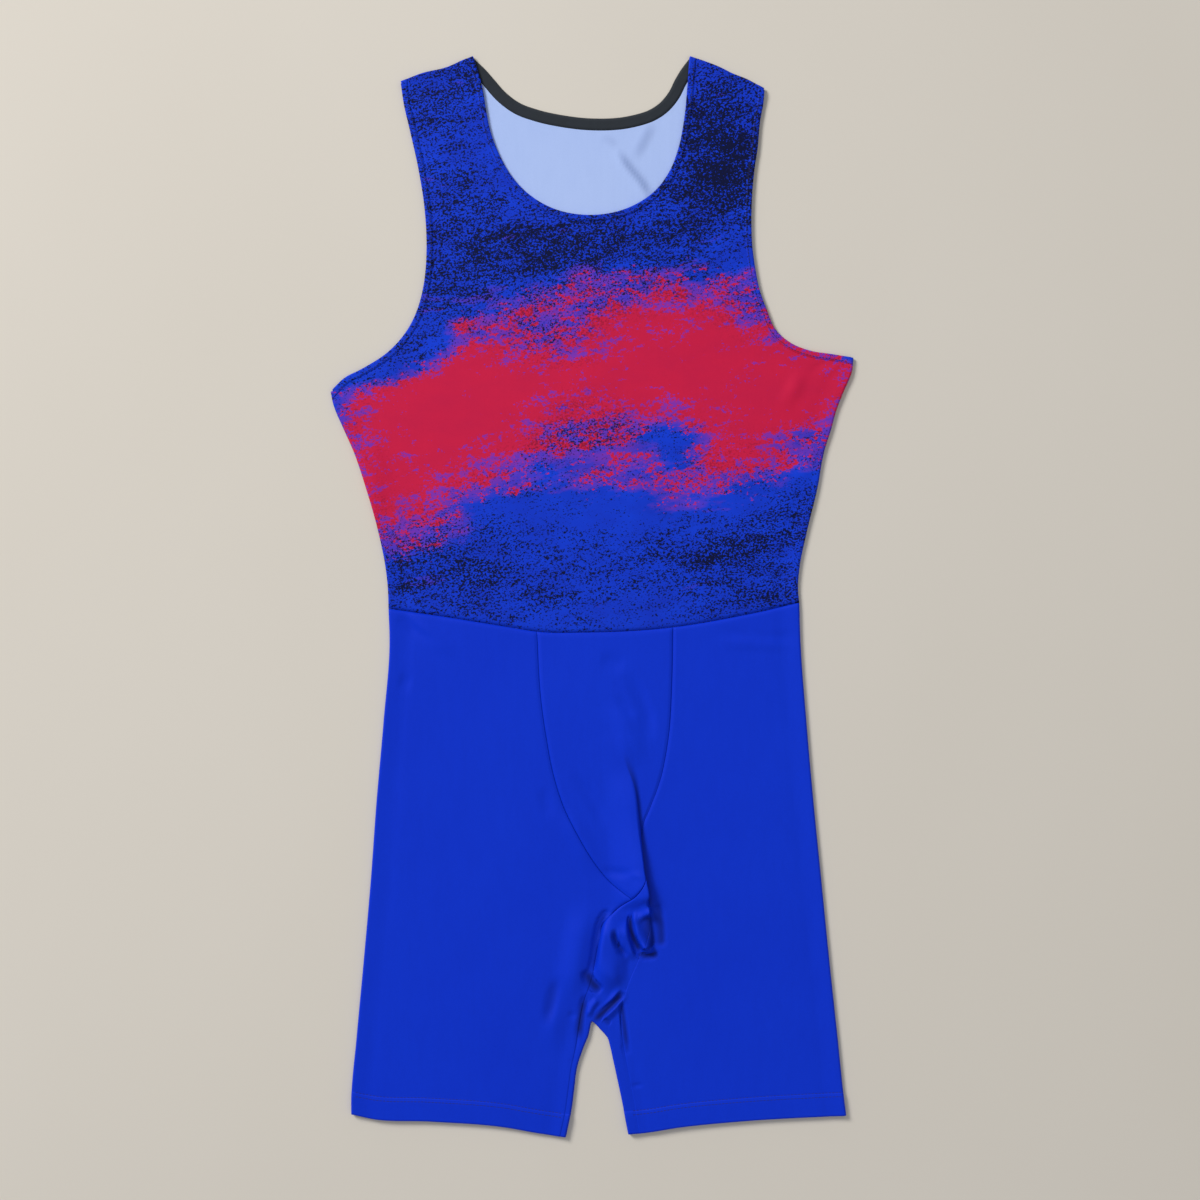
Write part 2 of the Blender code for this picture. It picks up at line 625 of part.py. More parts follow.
def leg(name, outer_table, inner_front, inner_back, seam_x):
    """One leg: its front, the fold at its outer edge and its back, as far as the seams on the inner side."""
    fall = abs(inner_front[:, 1] - inner_front[0, 1])
    outer_edge = at(smooth(outer_table), fall / fall[-1])
    layers = []
    for inner, columns, waist_x, layer in (
        (inner_front, LEG_FRONT_COLUMNS, seam_x, 1),
        (inner_back, LEG_BACK_COLUMNS, BACK_SEAM_X, -1),
    ):
        waist = between_x(WAIST_LINE, waist_x, outer_edge[0, 0], columns)
        hem = between_x(HEM_LINE, inner[-1, 0], outer_edge[-1, 0], columns)
        waist[0], waist[-1], hem[0], hem[-1] = inner[0], outer_edge[0], inner[-1], outer_edge[-1]
        plan = laid(patch(waist, hem, inner, outer_edge), layer)
        plan = turned_down(plan, np.ones(len(inner)), layer)
        plan = drawn_in(plan.each(mirror), FOLDED_SEAM_GAP if layer > 0 else SEAM_GAP).each(mirror)
        layers.append(drawn_in(plan.each(swap).each(mirror)).each(mirror).each(swap))
    front, back = layers
    back = back.each(mirror)
    joined = Plan(
        np.concatenate([front.xy, back.xy[:, 1:]], axis=1),
        np.concatenate([front.turn, back.turn[:, 1:]], axis=1),
        np.concatenate([front.out, back.out[:, 1:]], axis=1),
    )
    outer, inner = surfaces(joined)
    return cloth(name, outer, inner, ROYAL_KNIT)


def front_panel(left_seam, right_seam, bottom_edge):
    """The centre front panel between its two seams, with columns gathered towards the main crease."""
    crease = FOLD_LINES["main crease"]
    waist_x = (LEFT_SEAM_X + RIGHT_SEAM_X) / 2
    heights = (left_seam[:, 1] + right_seam[:, 1]) / 2
    meeting = at(bottom_edge, CREASE_FOOT)
    path = np.concatenate([[[waist_x, heights[0]]], crease[crease[:, 1] > meeting[1] + FOLD_RADIUS], [meeting]])
    middle = at(path, shares_of(left_seam))
    middle[0] = between_x(WAIST_LINE, waist_x, waist_x, [0])[0]
    halves = []
    for edges, waist_ends, foot_ends, columns in (
        ((left_seam, middle), (LEFT_SEAM_X, waist_x), (0, CREASE_FOOT), TO_CREASE_COLUMNS),
        ((middle, right_seam), (waist_x, RIGHT_SEAM_X), (CREASE_FOOT, 1), FROM_CREASE_COLUMNS),
    ):
        waist = between_x(WAIST_LINE, *waist_ends, columns)
        foot = at(bottom_edge, foot_ends[0] + (foot_ends[1] - foot_ends[0]) * np.array(columns))
        waist[0], waist[-1], foot[0], foot[-1] = edges[0][0], edges[1][0], edges[0][-1], edges[1][-1]
        halves.append(patch(waist, foot, *edges))
    plan = laid(np.concatenate([halves[0], halves[1][:, 1:]], axis=1))
    plan = drawn_in(plan).each(mirror)
    plan = drawn_in(plan).each(mirror).each(swap)
    plan = drawn_in(plan, 2 * FOLDED_SEAM_GAP).each(mirror)
    plan = drawn_in(plan).each(mirror).each(swap)
    outer, inner = surfaces(plan)
    return cloth("front_panel", outer, inner, ROYAL_KNIT)


def crotch_gusset(front, edge, back):
    """The gusset along both inner legs and over the crotch, folded at its edge from the front to the back."""
    layers = []
    for seam, columns, layer in ((front, GUSSET_FRONT_COLUMNS, 1), (back, GUSSET_BACK_COLUMNS, -1)):
        away = inward(edge, seam)
        start = edge + away * FOLD_RADIUS
        grid = [seam + (start - seam) * share for share in columns] + [edge]
        plan = turned_down(laid(np.stack(grid, axis=1), layer), np.ones(len(edge)), layer)
        layers.append(drawn_in(plan.each(mirror), FOLDED_SEAM_GAP if layer > 0 else SEAM_GAP).each(mirror))
    front_layer, back_layer = layers[0], layers[1].each(mirror)
    joined = Plan(
        np.concatenate([front_layer.xy, back_layer.xy[:, 1:]], axis=1),
        np.concatenate([front_layer.turn, back_layer.turn[:, 1:]], axis=1),
        np.concatenate([front_layer.out, back_layer.out[:, 1:]], axis=1),
    )
    outer, inner = surfaces(joined)
    return cloth("crotch_gusset", outer, inner, ROYAL_KNIT)


def centre_to(rows, top, low):
    """Points down the centre back seam, from its top and short of its low end."""
    share = (np.arange(rows) / rows)[:, None]
    return top + (low - top) * share


def shorts():
    """The two legs, the centre front panel and the gusset, which share the points along their seams."""
    front = gusset_line(0)
    back = gusset_line(4)
    steps = np.linspace(0, 1, SEAM_STEPS + 1)
    left_seam = at(smooth(LEFT_FRONT_SEAM), steps)
    right_seam = at(smooth(RIGHT_FRONT_SEAM), steps)
    left_tip = station_at(GUSSET_LEFT_TIP)
    right_tip = station_at(GUSSET_RIGHT_TIP)
    back_tip = station_at(GUSSET_BACK_TIP)
    left_front = np.concatenate([left_seam, front[:left_tip][::-1]])
    right_front = np.concatenate([right_seam, front[right_tip + 1 :]])
    centre_top = between_x(WAIST_LINE, BACK_SEAM_X, BACK_SEAM_X, [0])[0]
    left_low = back[: back_tip + 1][::-1]
    right_low = back[back_tip:]
    left_rows = len(left_front) - len(left_low)
    right_rows = len(right_front) - len(right_low)
    left_back = np.concatenate([centre_to(left_rows, centre_top, left_low[0]), left_low])
    right_back = np.concatenate([centre_to(right_rows, centre_top, right_low[0]), right_low])
    leg("right_leg", LEFT_OUTER, left_front, left_back, LEFT_SEAM_X)
    leg("left_leg", RIGHT_OUTER, right_front, right_back, RIGHT_SEAM_X)
    front_panel(left_seam, right_seam, front[left_tip : right_tip + 1])
    crotch_gusset(front, EDGE_LINE, back)


def main():
    for old in list(bpy.data.objects):
        bpy.data.objects.remove(old, do_unlink=True)
    right_shoulder = RIGHT_SHOULDER[::-1]
    holes = [
        armhole(LEFT_ARMHOLE, LEFT_SIDE, LEFT_SHOULDER, -1),
        armhole(RIGHT_ARMHOLE, RIGHT_SIDE, right_shoulder, 1),
    ]
    bodice("front_bodice", FRONT_NECK, BAND_WIDTH, 1, holes)
    bodice("back_bodice", BACK_NECK, TAPE_WIDTH, -1, holes)
    neck_strip("front_neck_band", FRONT_NECK, BAND_WIDTH, 1, BAND_KNIT)
    neck_strip("back_neck_tape", BACK_NECK, TAPE_WIDTH, -1, DARK_TAPE)
    armhole_band("right_armhole_band", holes[0])
    armhole_band("left_armhole_band", holes[1])
    shorts()


main()
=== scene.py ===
"""Dresses a track unitard that lies flat with its front up, in the frame of its CAD model.

The bodice is a printed stretch knit with a plain white inner side, and the short legs are a plain royal
blue one. Each sewn piece is a shell of cloth on its solid's form, with the creases of the photograph
placed on it and the rows of stitching laid on it as thread. Tables and forms are in millimetres, seen
from above with x to the right and y towards the shoulders, and the meshes are made in metres.
"""

from __future__ import annotations

import logging
from collections.abc import Callable, Iterable, Sequence
from dataclasses import dataclass, field
from enum import Enum
from typing import Any, NamedTuple

import bpy
import numpy as np
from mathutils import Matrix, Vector


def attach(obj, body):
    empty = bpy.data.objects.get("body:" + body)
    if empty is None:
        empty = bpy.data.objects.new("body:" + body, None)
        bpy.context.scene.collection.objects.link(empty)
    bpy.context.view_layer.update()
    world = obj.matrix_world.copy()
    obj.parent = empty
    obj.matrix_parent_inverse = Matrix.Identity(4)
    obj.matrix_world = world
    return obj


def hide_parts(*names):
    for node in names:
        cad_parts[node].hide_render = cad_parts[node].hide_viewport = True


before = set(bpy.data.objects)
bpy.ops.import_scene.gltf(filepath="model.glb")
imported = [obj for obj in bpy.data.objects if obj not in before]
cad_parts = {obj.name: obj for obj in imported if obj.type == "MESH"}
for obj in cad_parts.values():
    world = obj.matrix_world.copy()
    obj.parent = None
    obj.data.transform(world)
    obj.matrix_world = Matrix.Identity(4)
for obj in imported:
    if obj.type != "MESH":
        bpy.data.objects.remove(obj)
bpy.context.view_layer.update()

logging.basicConfig(level=logging.INFO, format="%(message)s")
log = logging.getLogger("unitard")

METRES = 0.001
QUARTER = np.pi / 2


class Point(NamedTuple):
    """A place on the garment seen from above."""

    x: float
    y: float


class GussetRow(NamedTuple):
    """One section of the gusset: its front seam, its folded edge and its back seam."""

    front_x: float
    front_y: float
    edge_x: float
    edge_y: float
    back_x: float
    back_y: float


class Lie(Enum):
    """Where a piece of cloth lies: on the front, on the back, or turned round from one to the other."""

    FRONT = 1
    BACK = -1
    ROUND = 0


class Weave(NamedTuple):
    """The pitch of a knit's wales and courses in metres, and how deep they look."""

    wale: float
    course: float
    depth: float


def graded(count: int, evenness: float = 0.45) -> np.ndarray:
    """Shares from 0 to 1 that lie closer together towards both ends.

    Args:
        count: how many stretches they bound.
        evenness: 1 for stretches all alike, and 0 for the closest ends.

    Returns:
        The shares in rising order.
    """
    even = np.linspace(0, 1, count + 1)
    return evenness * even + (1 - evenness) * (1 - np.cos(np.pi * even)) / 2


# Cloth and gaps
WALL = 1.0
BAND_WALL = 1.2
BAND_LIFT = 0.06
HEM_WALL = 1.6
SEAM_GAP = 0.24
FOLDED_SEAM_GAP = 0.3
EDGE_GAP = 0.1
CORNER_GAP = 0.3
LAID_HEIGHT = 2.3
TINY = 1e-9
FLAT_SINE = 0.95
# The mesh attribute that carries painted crease shade
CREASE_SHADE_ATTRIBUTE = "tuck"

# Where the cloth turns from the front to the back
FOLD_RADIUS = 2.2
FOLD_PUFF = 2.1
PUFF_REACH = 20.0
TURN_STEPS = QUARTER * np.array([1.0, 0.86, 0.72, 0.58, 0.45, 0.32, 0.2, 0.1, 0.0])
MAKE_ROOM = 30.0
MAKE_WAY = 3.0
LEAST_TURN = 0.3
NO_ROOM = 0.01

# Slack cloth and the pull of its seams
SLACK = 1.3
SLACK_REACH = 26.0
WAVE_HEIGHT = 0.45
SEAM_DIP = 0.75
SEAM_REACH = 3.2
EDGE_DIP = 0.14
UNDER_DIP = 0.5
RIM_ROUND = 0.12

# Edge finishes
BAND_WIDTH = 6.0
TAPE_WIDTH = 11.0
HEM_DEPTH = 20.0
HEM_RAMP = 2.0
HEM_GROOVE = 19.8
HEM_GROOVE_DEPTH = 0.45
HEM_GROOVE_REACH = 2.6

# How finely each stretch is divided
FOLD_STEPS = 6
EDGE_STEPS = 4
GUSSET_ROW_STEPS = 12
SIDE_STEPS = 58
ARMHOLE_STEPS = 88
SHOULDER_STEPS = 22
NECK_STEPS = 96
SEAM_STEPS = 90
BAND_STEPS = 4
ARC_STEPS = 13
LEG_FRONT_COLUMNS = graded(78)
LEG_BACK_COLUMNS = graded(64)
GUSSET_FRONT_COLUMNS = graded(60, 0.85)[:-1]
GUSSET_BACK_COLUMNS = graded(14, 0.8)[:-1]
PANEL_COLUMNS = graded(34, 0.7)
RELAX_ROUNDS = 400


class Wave(NamedTuple):
    """One slow swell of slack cloth, with its lengths in millimetres and its angles in radians."""

    heading: float
    length: float
    bend_length: float
    bend: float
    start: float
    weight: float


WAVES = (
    Wave(0.4, 21.0, 63.0, 1.1, 0.3, 1.0),
    Wave(1.9, 16.0, 47.0, 1.4, 2.1, 0.8),
    Wave(2.7, 31.0, 80.0, 0.9, 4.0, 1.1),
    Wave(1.2, 11.0, 34.0, 1.6, 5.2, 0.4),
)

# Side edges of the bodice, from the waist seam to the underarm
LEFT_SIDE = (
    Point(-189, -11.5), Point(-189.5, 6), Point(-191.5, 25), Point(-199, 62), Point(-209.5, 99),
    Point(-222, 136), Point(-230.5, 155), Point(-241, 181), Point(-242.7, 190),
)
RIGHT_SIDE = (
    Point(192.5, -6), Point(191.3, 6), Point(192.5, 25), Point(200, 62), Point(209, 99),
    Point(216, 136), Point(222, 155), Point(227, 173), Point(234.5, 192), Point(241.5, 209), Point(242.7, 221.5),
)

# Armholes, from the underarm to the shoulder
LEFT_ARMHOLE = (
    Point(-242.7, 190), Point(-229.5, 203), Point(-214.8, 210.5), Point(-187, 229), Point(-171, 248),
    Point(-162, 266.5), Point(-157, 285), Point(-154.4, 303.5), Point(-153.5, 322), Point(-155.3, 359.5),
    Point(-161, 396.5), Point(-169.3, 434), Point(-174.8, 458), Point(-177.6, 478.5),
)
RIGHT_ARMHOLE = (
    Point(242.7, 221.5), Point(222, 225), Point(205, 227.5), Point(185, 235), Point(170, 248),
    Point(162, 266.5), Point(155.3, 285), Point(151.6, 303.5), Point(149, 322), Point(148, 359.5),
    Point(150.7, 396.5), Point(153.5, 415), Point(156.2, 443), Point(159, 458), Point(160, 472),
)

# Shoulders, from left to right
LEFT_SHOULDER = (
    Point(-177.6, 478.5), Point(-158, 486), Point(-135, 491.5), Point(-118, 499), Point(-110.7, 501.7),
)
RIGHT_SHOULDER = (
    Point(91.1, 501.7), Point(105, 497), Point(119, 491.5), Point(130, 486), Point(144, 480.5), Point(160, 472),
)

# Necklines, from the left shoulder to the right one
FRONT_NECK = (
    Point(-110.7, 501.7), Point(-102.5, 475), Point(-98.6, 452.5), Point(-95, 434), Point(-88.4, 415),
    Point(-79, 396.5), Point(-63, 377), Point(-37, 360.5), Point(-2, 354), Point(33, 360.5),
    Point(59, 377), Point(73, 396.5), Point(80, 415), Point(85.6, 443), Point(88.4, 471), Point(91.1, 501.7),
)
BACK_NECK = (
    Point(-110.7, 501.7), Point(-100.4, 491.5), Point(-91, 480.3), Point(-81, 469), Point(-66, 458),
    Point(-51, 452.5), Point(-26, 447), Point(-2, 444.3), Point(37, 447), Point(54, 452.5),
    Point(62.3, 458), Point(71.6, 469), Point(77.2, 480.3), Point(83.7, 491.5), Point(91.1, 501.7),
)

# Waist seam, from left to right, with the two places where the centre panel's seams meet it
WAIST = (
    Point(-189, -11.5), Point(-135, -19), Point(-104, -24), Point(-76, -28.5), Point(-51.2, -32.5),
    Point(-2, -33.3), Point(44.6, -31.5), Point(75.3, -28.5), Point(140, -17.5), Point(192.5, -6),
)
LEFT_SEAM_X = -51.2
RIGHT_SEAM_X = 75.3
BACK_SEAM_X = 0.5

# Outer edges of the legs, from the waist seam to the hem
LEFT_OUTER = (
    Point(-189, -11.5), Point(-188, -40), Point(-193.5, -115), Point(-200, -189), Point(-205.5, -264),
    Point(-212, -338), Point(-218.6, -409), Point(-223.6, -470), Point(-223.5, -480.5),
)
RIGHT_OUTER = (
    Point(192.5, -6), Point(193.5, -40), Point(199, -115), Point(205.5, -189), Point(213, -264),
    Point(220.4, -338), Point(228, -409), Point(234.5, -470), Point(236, -481.3),
)

# Hems, from left to right
LEFT_HEM = (
    Point(-223.5, -480.5), Point(-208, -484), Point(-149, -487), Point(-80, -492.5), Point(-49, -498),
    Point(-24.2, -501.7),
)
RIGHT_HEM = (
    Point(33.5, -499), Point(45.6, -498), Point(81, -492.5), Point(137, -487), Point(236, -481.3),
)

# Seams between the centre front panel and the legs, from the waist down
LEFT_FRONT_SEAM = (
    Point(-51.2, -32.5), Point(-47.4, -96), Point(-42.8, -129), Point(-34.4, -171), Point(-25.1, -198.5),
    Point(-15.8, -217), Point(7.4, -254.5), Point(32.6, -281.3),
)
RIGHT_FRONT_SEAM = (
    Point(75.3, -28.5), Point(74.4, -78), Point(70.7, -133.5), Point(63.2, -171), Point(54, -196),
    Point(47, -213.5), Point(45, -236), Point(44.5, -262),
)

# Crotch gusset, a section for each row from the left hem over the crotch to the right hem
GUSSET = (
    GussetRow(-29.7, -500.8, -24.2, -501.7, -36, -500),
    GussetRow(-25.6, -482, -20.0, -482, -31, -481),
    GussetRow(-25.0, -479, -19.4, -479, -30.4, -478),
    GussetRow(-22.2, -459, -16.7, -459, -27.6, -457),
    GussetRow(-19.0, -436, -13.5, -436, -24.6, -434),
    GussetRow(-15.0, -418, -7.7, -418.5, -20, -413),
    GussetRow(-11.8, -397, -3.2, -407, -16, -392),
    GussetRow(-7.5, -376, -1.6, -399.5, -11.5, -372),
    GussetRow(-1.0, -358, -0.9, -396.6, -7, -354),
    GussetRow(3.0, -338, -0.4, -395.4, -3, -340),
    GussetRow(6.8, -318, 0.0, -394.9, 0.5, -329),
    GussetRow(10.5, -303, 0.5, -394.9, 1.8, -329.5),
    GussetRow(20.5, -292.5, 1.1, -395.3, 3, -331),
    GussetRow(32.6, -281.3, 1.9, -395.9, 4.2, -333),
    GussetRow(44.5, -262, 2.8, -396.7, 5.4, -336),
    GussetRow(53, -286, 4.0, -397.9, 7, -341),
    GussetRow(50, -312, 5.6, -399.6, 9.5, -350),
    GussetRow(43, -337, 8.0, -402.4, 13, -362),
    GussetRow(33.5, -360, 11.2, -405.8, 18, -374),
    GussetRow(27.5, -380, 14.2, -409.6, 22, -388),
    GussetRow(27.8, -408, 16.8, -418, 26, -405),
    GussetRow(30.5, -426, 19.5, -430, 29, -424),
    GussetRow(34.5, -446, 23, -446, 32.5, -443),
    GussetRow(37, -460, 26, -460, 35.5, -458),
    GussetRow(40, -476, 29.2, -476, 38.5, -475),
    GussetRow(40.4, -479, 29.7, -479, 39, -478),
    GussetRow(43.7, -498.1, 33.5, -499, 42, -498.2),
)
PANEL_SEAM_SHOWS = 0.8
GUSSET_SEAM_SHOWS = (
    Point(0, 0.1), Point(4, 0.12), Point(5, 0.5), Point(6, 0.7), Point(7, 0.2), Point(8, 0.0), Point(10, 0.05),
    Point(11, 0.6), Point(12, 1.0), Point(13, 0.9), Point(13.4, 0.2), Point(14.4, 0.15), Point(15, 0.1),
    Point(18.6, 0.0), Point(19.2, 0.6), Point(20.6, 0.6), Point(22, 0.15), Point(26, 0.12),
)
GUSSET_LEFT_TIP = 13
GUSSET_RIGHT_TIP = 14
GUSSET_BACK_TIP = 10

@dataclass(frozen=True)
class Fold:
    """A soft ridge of the front layer, or with a negative height a trough.

    The reaches are to the left and right hand of the path's run. The lean is how far the top lies over to
    the left hand. Start and end are the shares of the path over which it swells and dies away. Tuck is how
    strongly painted shade darkens the cloth's colour there, from 0 to 1, for the shade of a deep crease.
    """

    path: tuple[tuple[float, float], ...]
    height: float
    left_reach: float
    right_reach: float
    lean: float = 0.0
    start: float = 0.4
    end: float = 0.4
    tuck: float = 0.0

    def swell(self, xy: np.ndarray) -> tuple[np.ndarray, np.ndarray]:
        """How strongly the fold shows at each point.

        Args:
            xy: points seen from above, of any shape ending in two.

        Returns:
            The share of its full height from 0 to 1, and the left hand of its path there.
        """
        distance, share, left = nearest(xy, smooth(self.path, FOLD_STEPS))
        reach = np.where(distance > 0, self.left_reach, self.right_reach)
        ends = ease(share / self.start) * ease((1 - share) / self.end)
        return ease(1 - abs(distance) / reach) * ends, left


@dataclass
class Plan:
    """A grid of points seen from above, with how each one lies.

    The turn is a quarter turn on the front layer, nothing at a fold's outermost line and minus a quarter
    turn on the back layer. Out is which way is out at a fold, and dip is how far a seam draws the cloth in.
    """

    xy: np.ndarray
    turn: np.ndarray
    out: np.ndarray
    dip: np.ndarray

    def each(self, change: Callable[[np.ndarray], np.ndarray]) -> Plan:
        """The plan with all its grids changed the same way."""
        return Plan(change(self.xy), change(self.turn), change(self.out), change(self.dip))

    def beside(self, other: Plan) -> Plan:
        """This plan with another's columns after its own, without the column that both have."""
        pairs = ((self.xy, other.xy), (self.turn, other.turn), (self.out, other.out), (self.dip, other.dip))
        return Plan(*[np.concatenate([first, second[:, 1:]], axis=1) for first, second in pairs])

    def sewn(self, gap: float, shows: np.ndarray | float = 1.0, dip: float = SEAM_DIP) -> Plan:
        """The plan with its last column at a seam: moved in by half the seam's gap, and drawn down.

        Args:
            gap: the whole width of the seam's gap.
            shows: how much of the seam shows, from 0 to 1, for the whole seam or for each row.
            dip: how far a seam that shows wholly is drawn down.

        Returns:
            The changed plan.
        """
        share = np.broadcast_to(shows, len(self.xy))[:, None]
        shift = inward(self.xy[:, -1], self.xy[:, -2]) * gap / 2 * share
        away = np.linalg.norm(self.xy - self.xy[:, -1:], axis=-1, keepdims=True)
        xy = self.xy + shift[:, None] * np.clip(1 - away / MAKE_WAY, 0, 1)
        drawn = dip * ease(1 - away / SEAM_REACH) * share[:, None]
        return Plan(xy, self.turn, self.out, np.maximum(self.dip, drawn))

    def turned_down(self, rows: Sequence[float] | np.ndarray, lie: Lie, reach: float = MAKE_ROOM) -> Plan:
        """The plan with its last column made into several, which turn over a fold.

        Args:
            rows: how far each row turns, 0 for not at all and 1 for down to mid height.
            lie: whether this is the front or the back.
            reach: how far in the columns are drawn together to make room for the turn.

        Returns:
            The changed plan.
        """
        edge = self.xy[:, -1]
        into = inward(edge, self.xy[:, -2])
        away = np.linalg.norm(self.xy - self.xy[:, -1:], axis=-1, keepdims=True)
        turned = np.asarray(rows, float)
        width = FOLD_RADIUS * np.maximum(turned, LEAST_TURN)[:, None, None]
        room = self.xy + into[:, None] * width * np.clip(1 - away / reach, 0, 1)
        steps = TURN_STEPS[None, :, None]
        xy = edge[:, None] + into[:, None] * width * (1 - np.cos(steps))
        turn = lie.value * (QUARTER - turned[:, None, None] * (QUARTER - steps))
        out = np.broadcast_to(-into[:, None], xy.shape)
        dip = np.repeat(self.dip[:, -1:], len(TURN_STEPS), axis=1)
        return Plan(
            np.concatenate([room[:, :-1], xy], axis=1),
            np.concatenate([self.turn[:, :-1], turn], axis=1),
            np.concatenate([self.out[:, :-1], out], axis=1),
            np.concatenate([self.dip[:, :-1], dip], axis=1),
        )


def swap(grid: np.ndarray) -> np.ndarray:
    """The grid with its rows as columns."""
    return np.swapaxes(grid, 0, 1)


def mirror(grid: np.ndarray) -> np.ndarray:
    """The grid with its columns the other way round."""
    return grid[:, ::-1]


def ease(share: Any) -> Any:
    """A smooth rise from 0 to 1 as the share goes from 0 to 1."""
    held = np.clip(share, 0.0, 1.0)
    return held * held * (3 - 2 * held)


def smooth(points: Sequence[Sequence[float]] | np.ndarray, steps: int = 10) -> np.ndarray:
    """Points along a smooth curve through a table's points.

    Args:
        points: rows that begin with x and y.
        steps: how many points each span gets.

    Returns:
        The points in order, as rows of x and y.
    """
    knots = np.array([point[:2] for point in points], float)
    lengths = np.linalg.norm(np.diff(knots, axis=0), axis=1)
    places = np.concatenate([[0], np.cumsum(lengths)])
    slopes = np.gradient(knots, places, axis=0)
    curve = [knots[:1]]
    for start in range(len(knots) - 1):
        share = (np.arange(1, steps + 1) / steps)[:, None]
        span = lengths[start]
        curve.append(
            (1 + 2 * share) * (1 - share) ** 2 * knots[start]
            + share * (1 - share) ** 2 * span * slopes[start]
            + share**2 * (3 - 2 * share) * knots[start + 1]
            + share**2 * (share - 1) * span * slopes[start + 1]
        )
    return np.concatenate(curve)


def shares_of(line: np.ndarray) -> np.ndarray:
    """How much of the line's length lies before each of its points."""
    lengths = np.linalg.norm(np.diff(line, axis=0), axis=1)
    places = np.concatenate([[0], np.cumsum(lengths)])
    return places / places[-1]


def length_of(line: np.ndarray) -> float:
    """The length of a line of points."""
    return float(np.linalg.norm(np.diff(line, axis=0), axis=1).sum())


def at(line: np.ndarray, shares: Any) -> np.ndarray:
    """The points of a line at these shares of its length."""
    known = shares_of(line)
    return np.stack([np.interp(shares, known, line[:, axis]) for axis in range(line.shape[1])], axis=-1)


def between_x(line: np.ndarray, low: float, high: float, shares: Any) -> np.ndarray:
    """The points of a line that runs to the right, at these shares of its stretch from low to high."""
    x = low + (high - low) * np.asarray(shares)
    return np.stack([x, np.interp(x, line[:, 0], line[:, 1])], axis=-1)


def hand_of(line: np.ndarray, hand: int) -> np.ndarray:
    """Unit directions square to the line, to its left hand for 1 and to its right hand for -1."""
    run = np.gradient(line, axis=0)
    square = np.stack([-run[:, 1], run[:, 0]], axis=-1) * hand
    return unit(square)


def unit(vectors: np.ndarray) -> np.ndarray:
    """The vectors made one long."""
    return vectors / np.maximum(np.linalg.norm(vectors, axis=-1, keepdims=True), TINY)


def inward(edge: np.ndarray, inside: np.ndarray) -> np.ndarray:
    """Unit directions square to an edge, to the side where the inside points lie."""
    square = hand_of(edge, 1)
    return square * np.sign(np.sum(square * (inside - edge)))


def nearest(xy: np.ndarray, line: np.ndarray) -> tuple[np.ndarray, np.ndarray, np.ndarray]:
    """Where each point lies from a line.

    Args:
        xy: points seen from above.
        line: the line's points in order.

    Returns:
        The distance, positive on the line's left hand, the share of the line's length at the nearest
        place, and the left hand there.
    """
    starts = line[:-1]
    runs = line[1:] - starts
    offsets = xy[..., None, :] - starts
    along = np.sum(offsets * runs, axis=-1) / np.sum(runs * runs, axis=-1)
    held = np.clip(along, 0, 1)
    distance = np.linalg.norm(offsets - held[..., None] * runs, axis=-1)
    closest = np.argmin(distance, axis=-1)
    pick = closest[..., None]
    span = np.linalg.norm(runs, axis=1)
    left = np.stack([-runs[:, 1], runs[:, 0]], axis=-1) / span[:, None]
    side = np.sign(np.sum(offsets * left, axis=-1))
    before = np.concatenate([[0], np.cumsum(span)])
    share = (before[closest] + np.take_along_axis(held, pick, -1)[..., 0] * span[closest]) / before[-1]
    signed = np.take_along_axis(distance * side, pick, -1)[..., 0]
    return signed, share, left[closest]


def patch(bottom: np.ndarray, top: np.ndarray, left: np.ndarray, right: np.ndarray) -> np.ndarray:
    """A grid blended between four edges that share their corners.

    Args:
        bottom: the first row.
        top: the last row.
        left: the first column.
        right: the last column.

    Returns:
        The grid, its rows from bottom to top.
    """
    across = ((shares_of(bottom) + shares_of(top)) / 2)[None, :, None]
    up = ((shares_of(left) + shares_of(right)) / 2)[:, None, None]
    sides = (1 - across) * left[:, None] + across * right[:, None]
    ends = (1 - up) * bottom[None] + up * top[None]
    low = (1 - across) * bottom[0] + across * bottom[-1]
    high = (1 - across) * top[0] + across * top[-1]
    return sides + ends - (1 - up) * low - up * high


def relaxed(grid: np.ndarray) -> np.ndarray:
    """The grid with its inner points drawn to where its rows and columns cross evenly and never fold."""
    xy = grid.copy()
    for _ in range(RELAX_ROUNDS):
        down = (xy[2:, 1:-1] - xy[:-2, 1:-1]) / 2
        right = (xy[1:-1, 2:] - xy[1:-1, :-2]) / 2
        twist = xy[2:, 2:] - xy[:-2, 2:] - xy[2:, :-2] + xy[:-2, :-2]
        row_pull = np.sum(right**2, axis=-1, keepdims=True)
        column_pull = np.sum(down**2, axis=-1, keepdims=True)
        skew = np.sum(down * right, axis=-1, keepdims=True) / 2
        rows = row_pull * (xy[2:, 1:-1] + xy[:-2, 1:-1])
        columns = column_pull * (xy[1:-1, 2:] + xy[1:-1, :-2])
        xy[1:-1, 1:-1] = (rows + columns - skew * twist) / (2 * (row_pull + column_pull))
    return xy


def laid(xy: np.ndarray, lie: Lie = Lie.FRONT) -> Plan:
    """A plan with no turn in it, on the front layer or on the back one."""
    turn = np.full(xy.shape[:-1] + (1,), QUARTER * lie.value)
    return Plan(xy, turn, np.zeros(xy.shape), np.zeros(turn.shape))


def gusset_seam_shows() -> np.ndarray:
    """How much of the gusset's front seam shows at each of its sections."""
    rows = np.arange((len(GUSSET) - 1) * GUSSET_ROW_STEPS + 1) / GUSSET_ROW_STEPS
    return np.interp(rows, [point.x for point in GUSSET_SEAM_SHOWS], [point.y for point in GUSSET_SEAM_SHOWS])


def gusset_line(column: int) -> np.ndarray:
    """One lengthwise line of the gusset, by the first of its two table columns."""
    knots = np.array([[row[column], row[column + 1]] for row in GUSSET])
    return smooth(knots, GUSSET_ROW_STEPS)


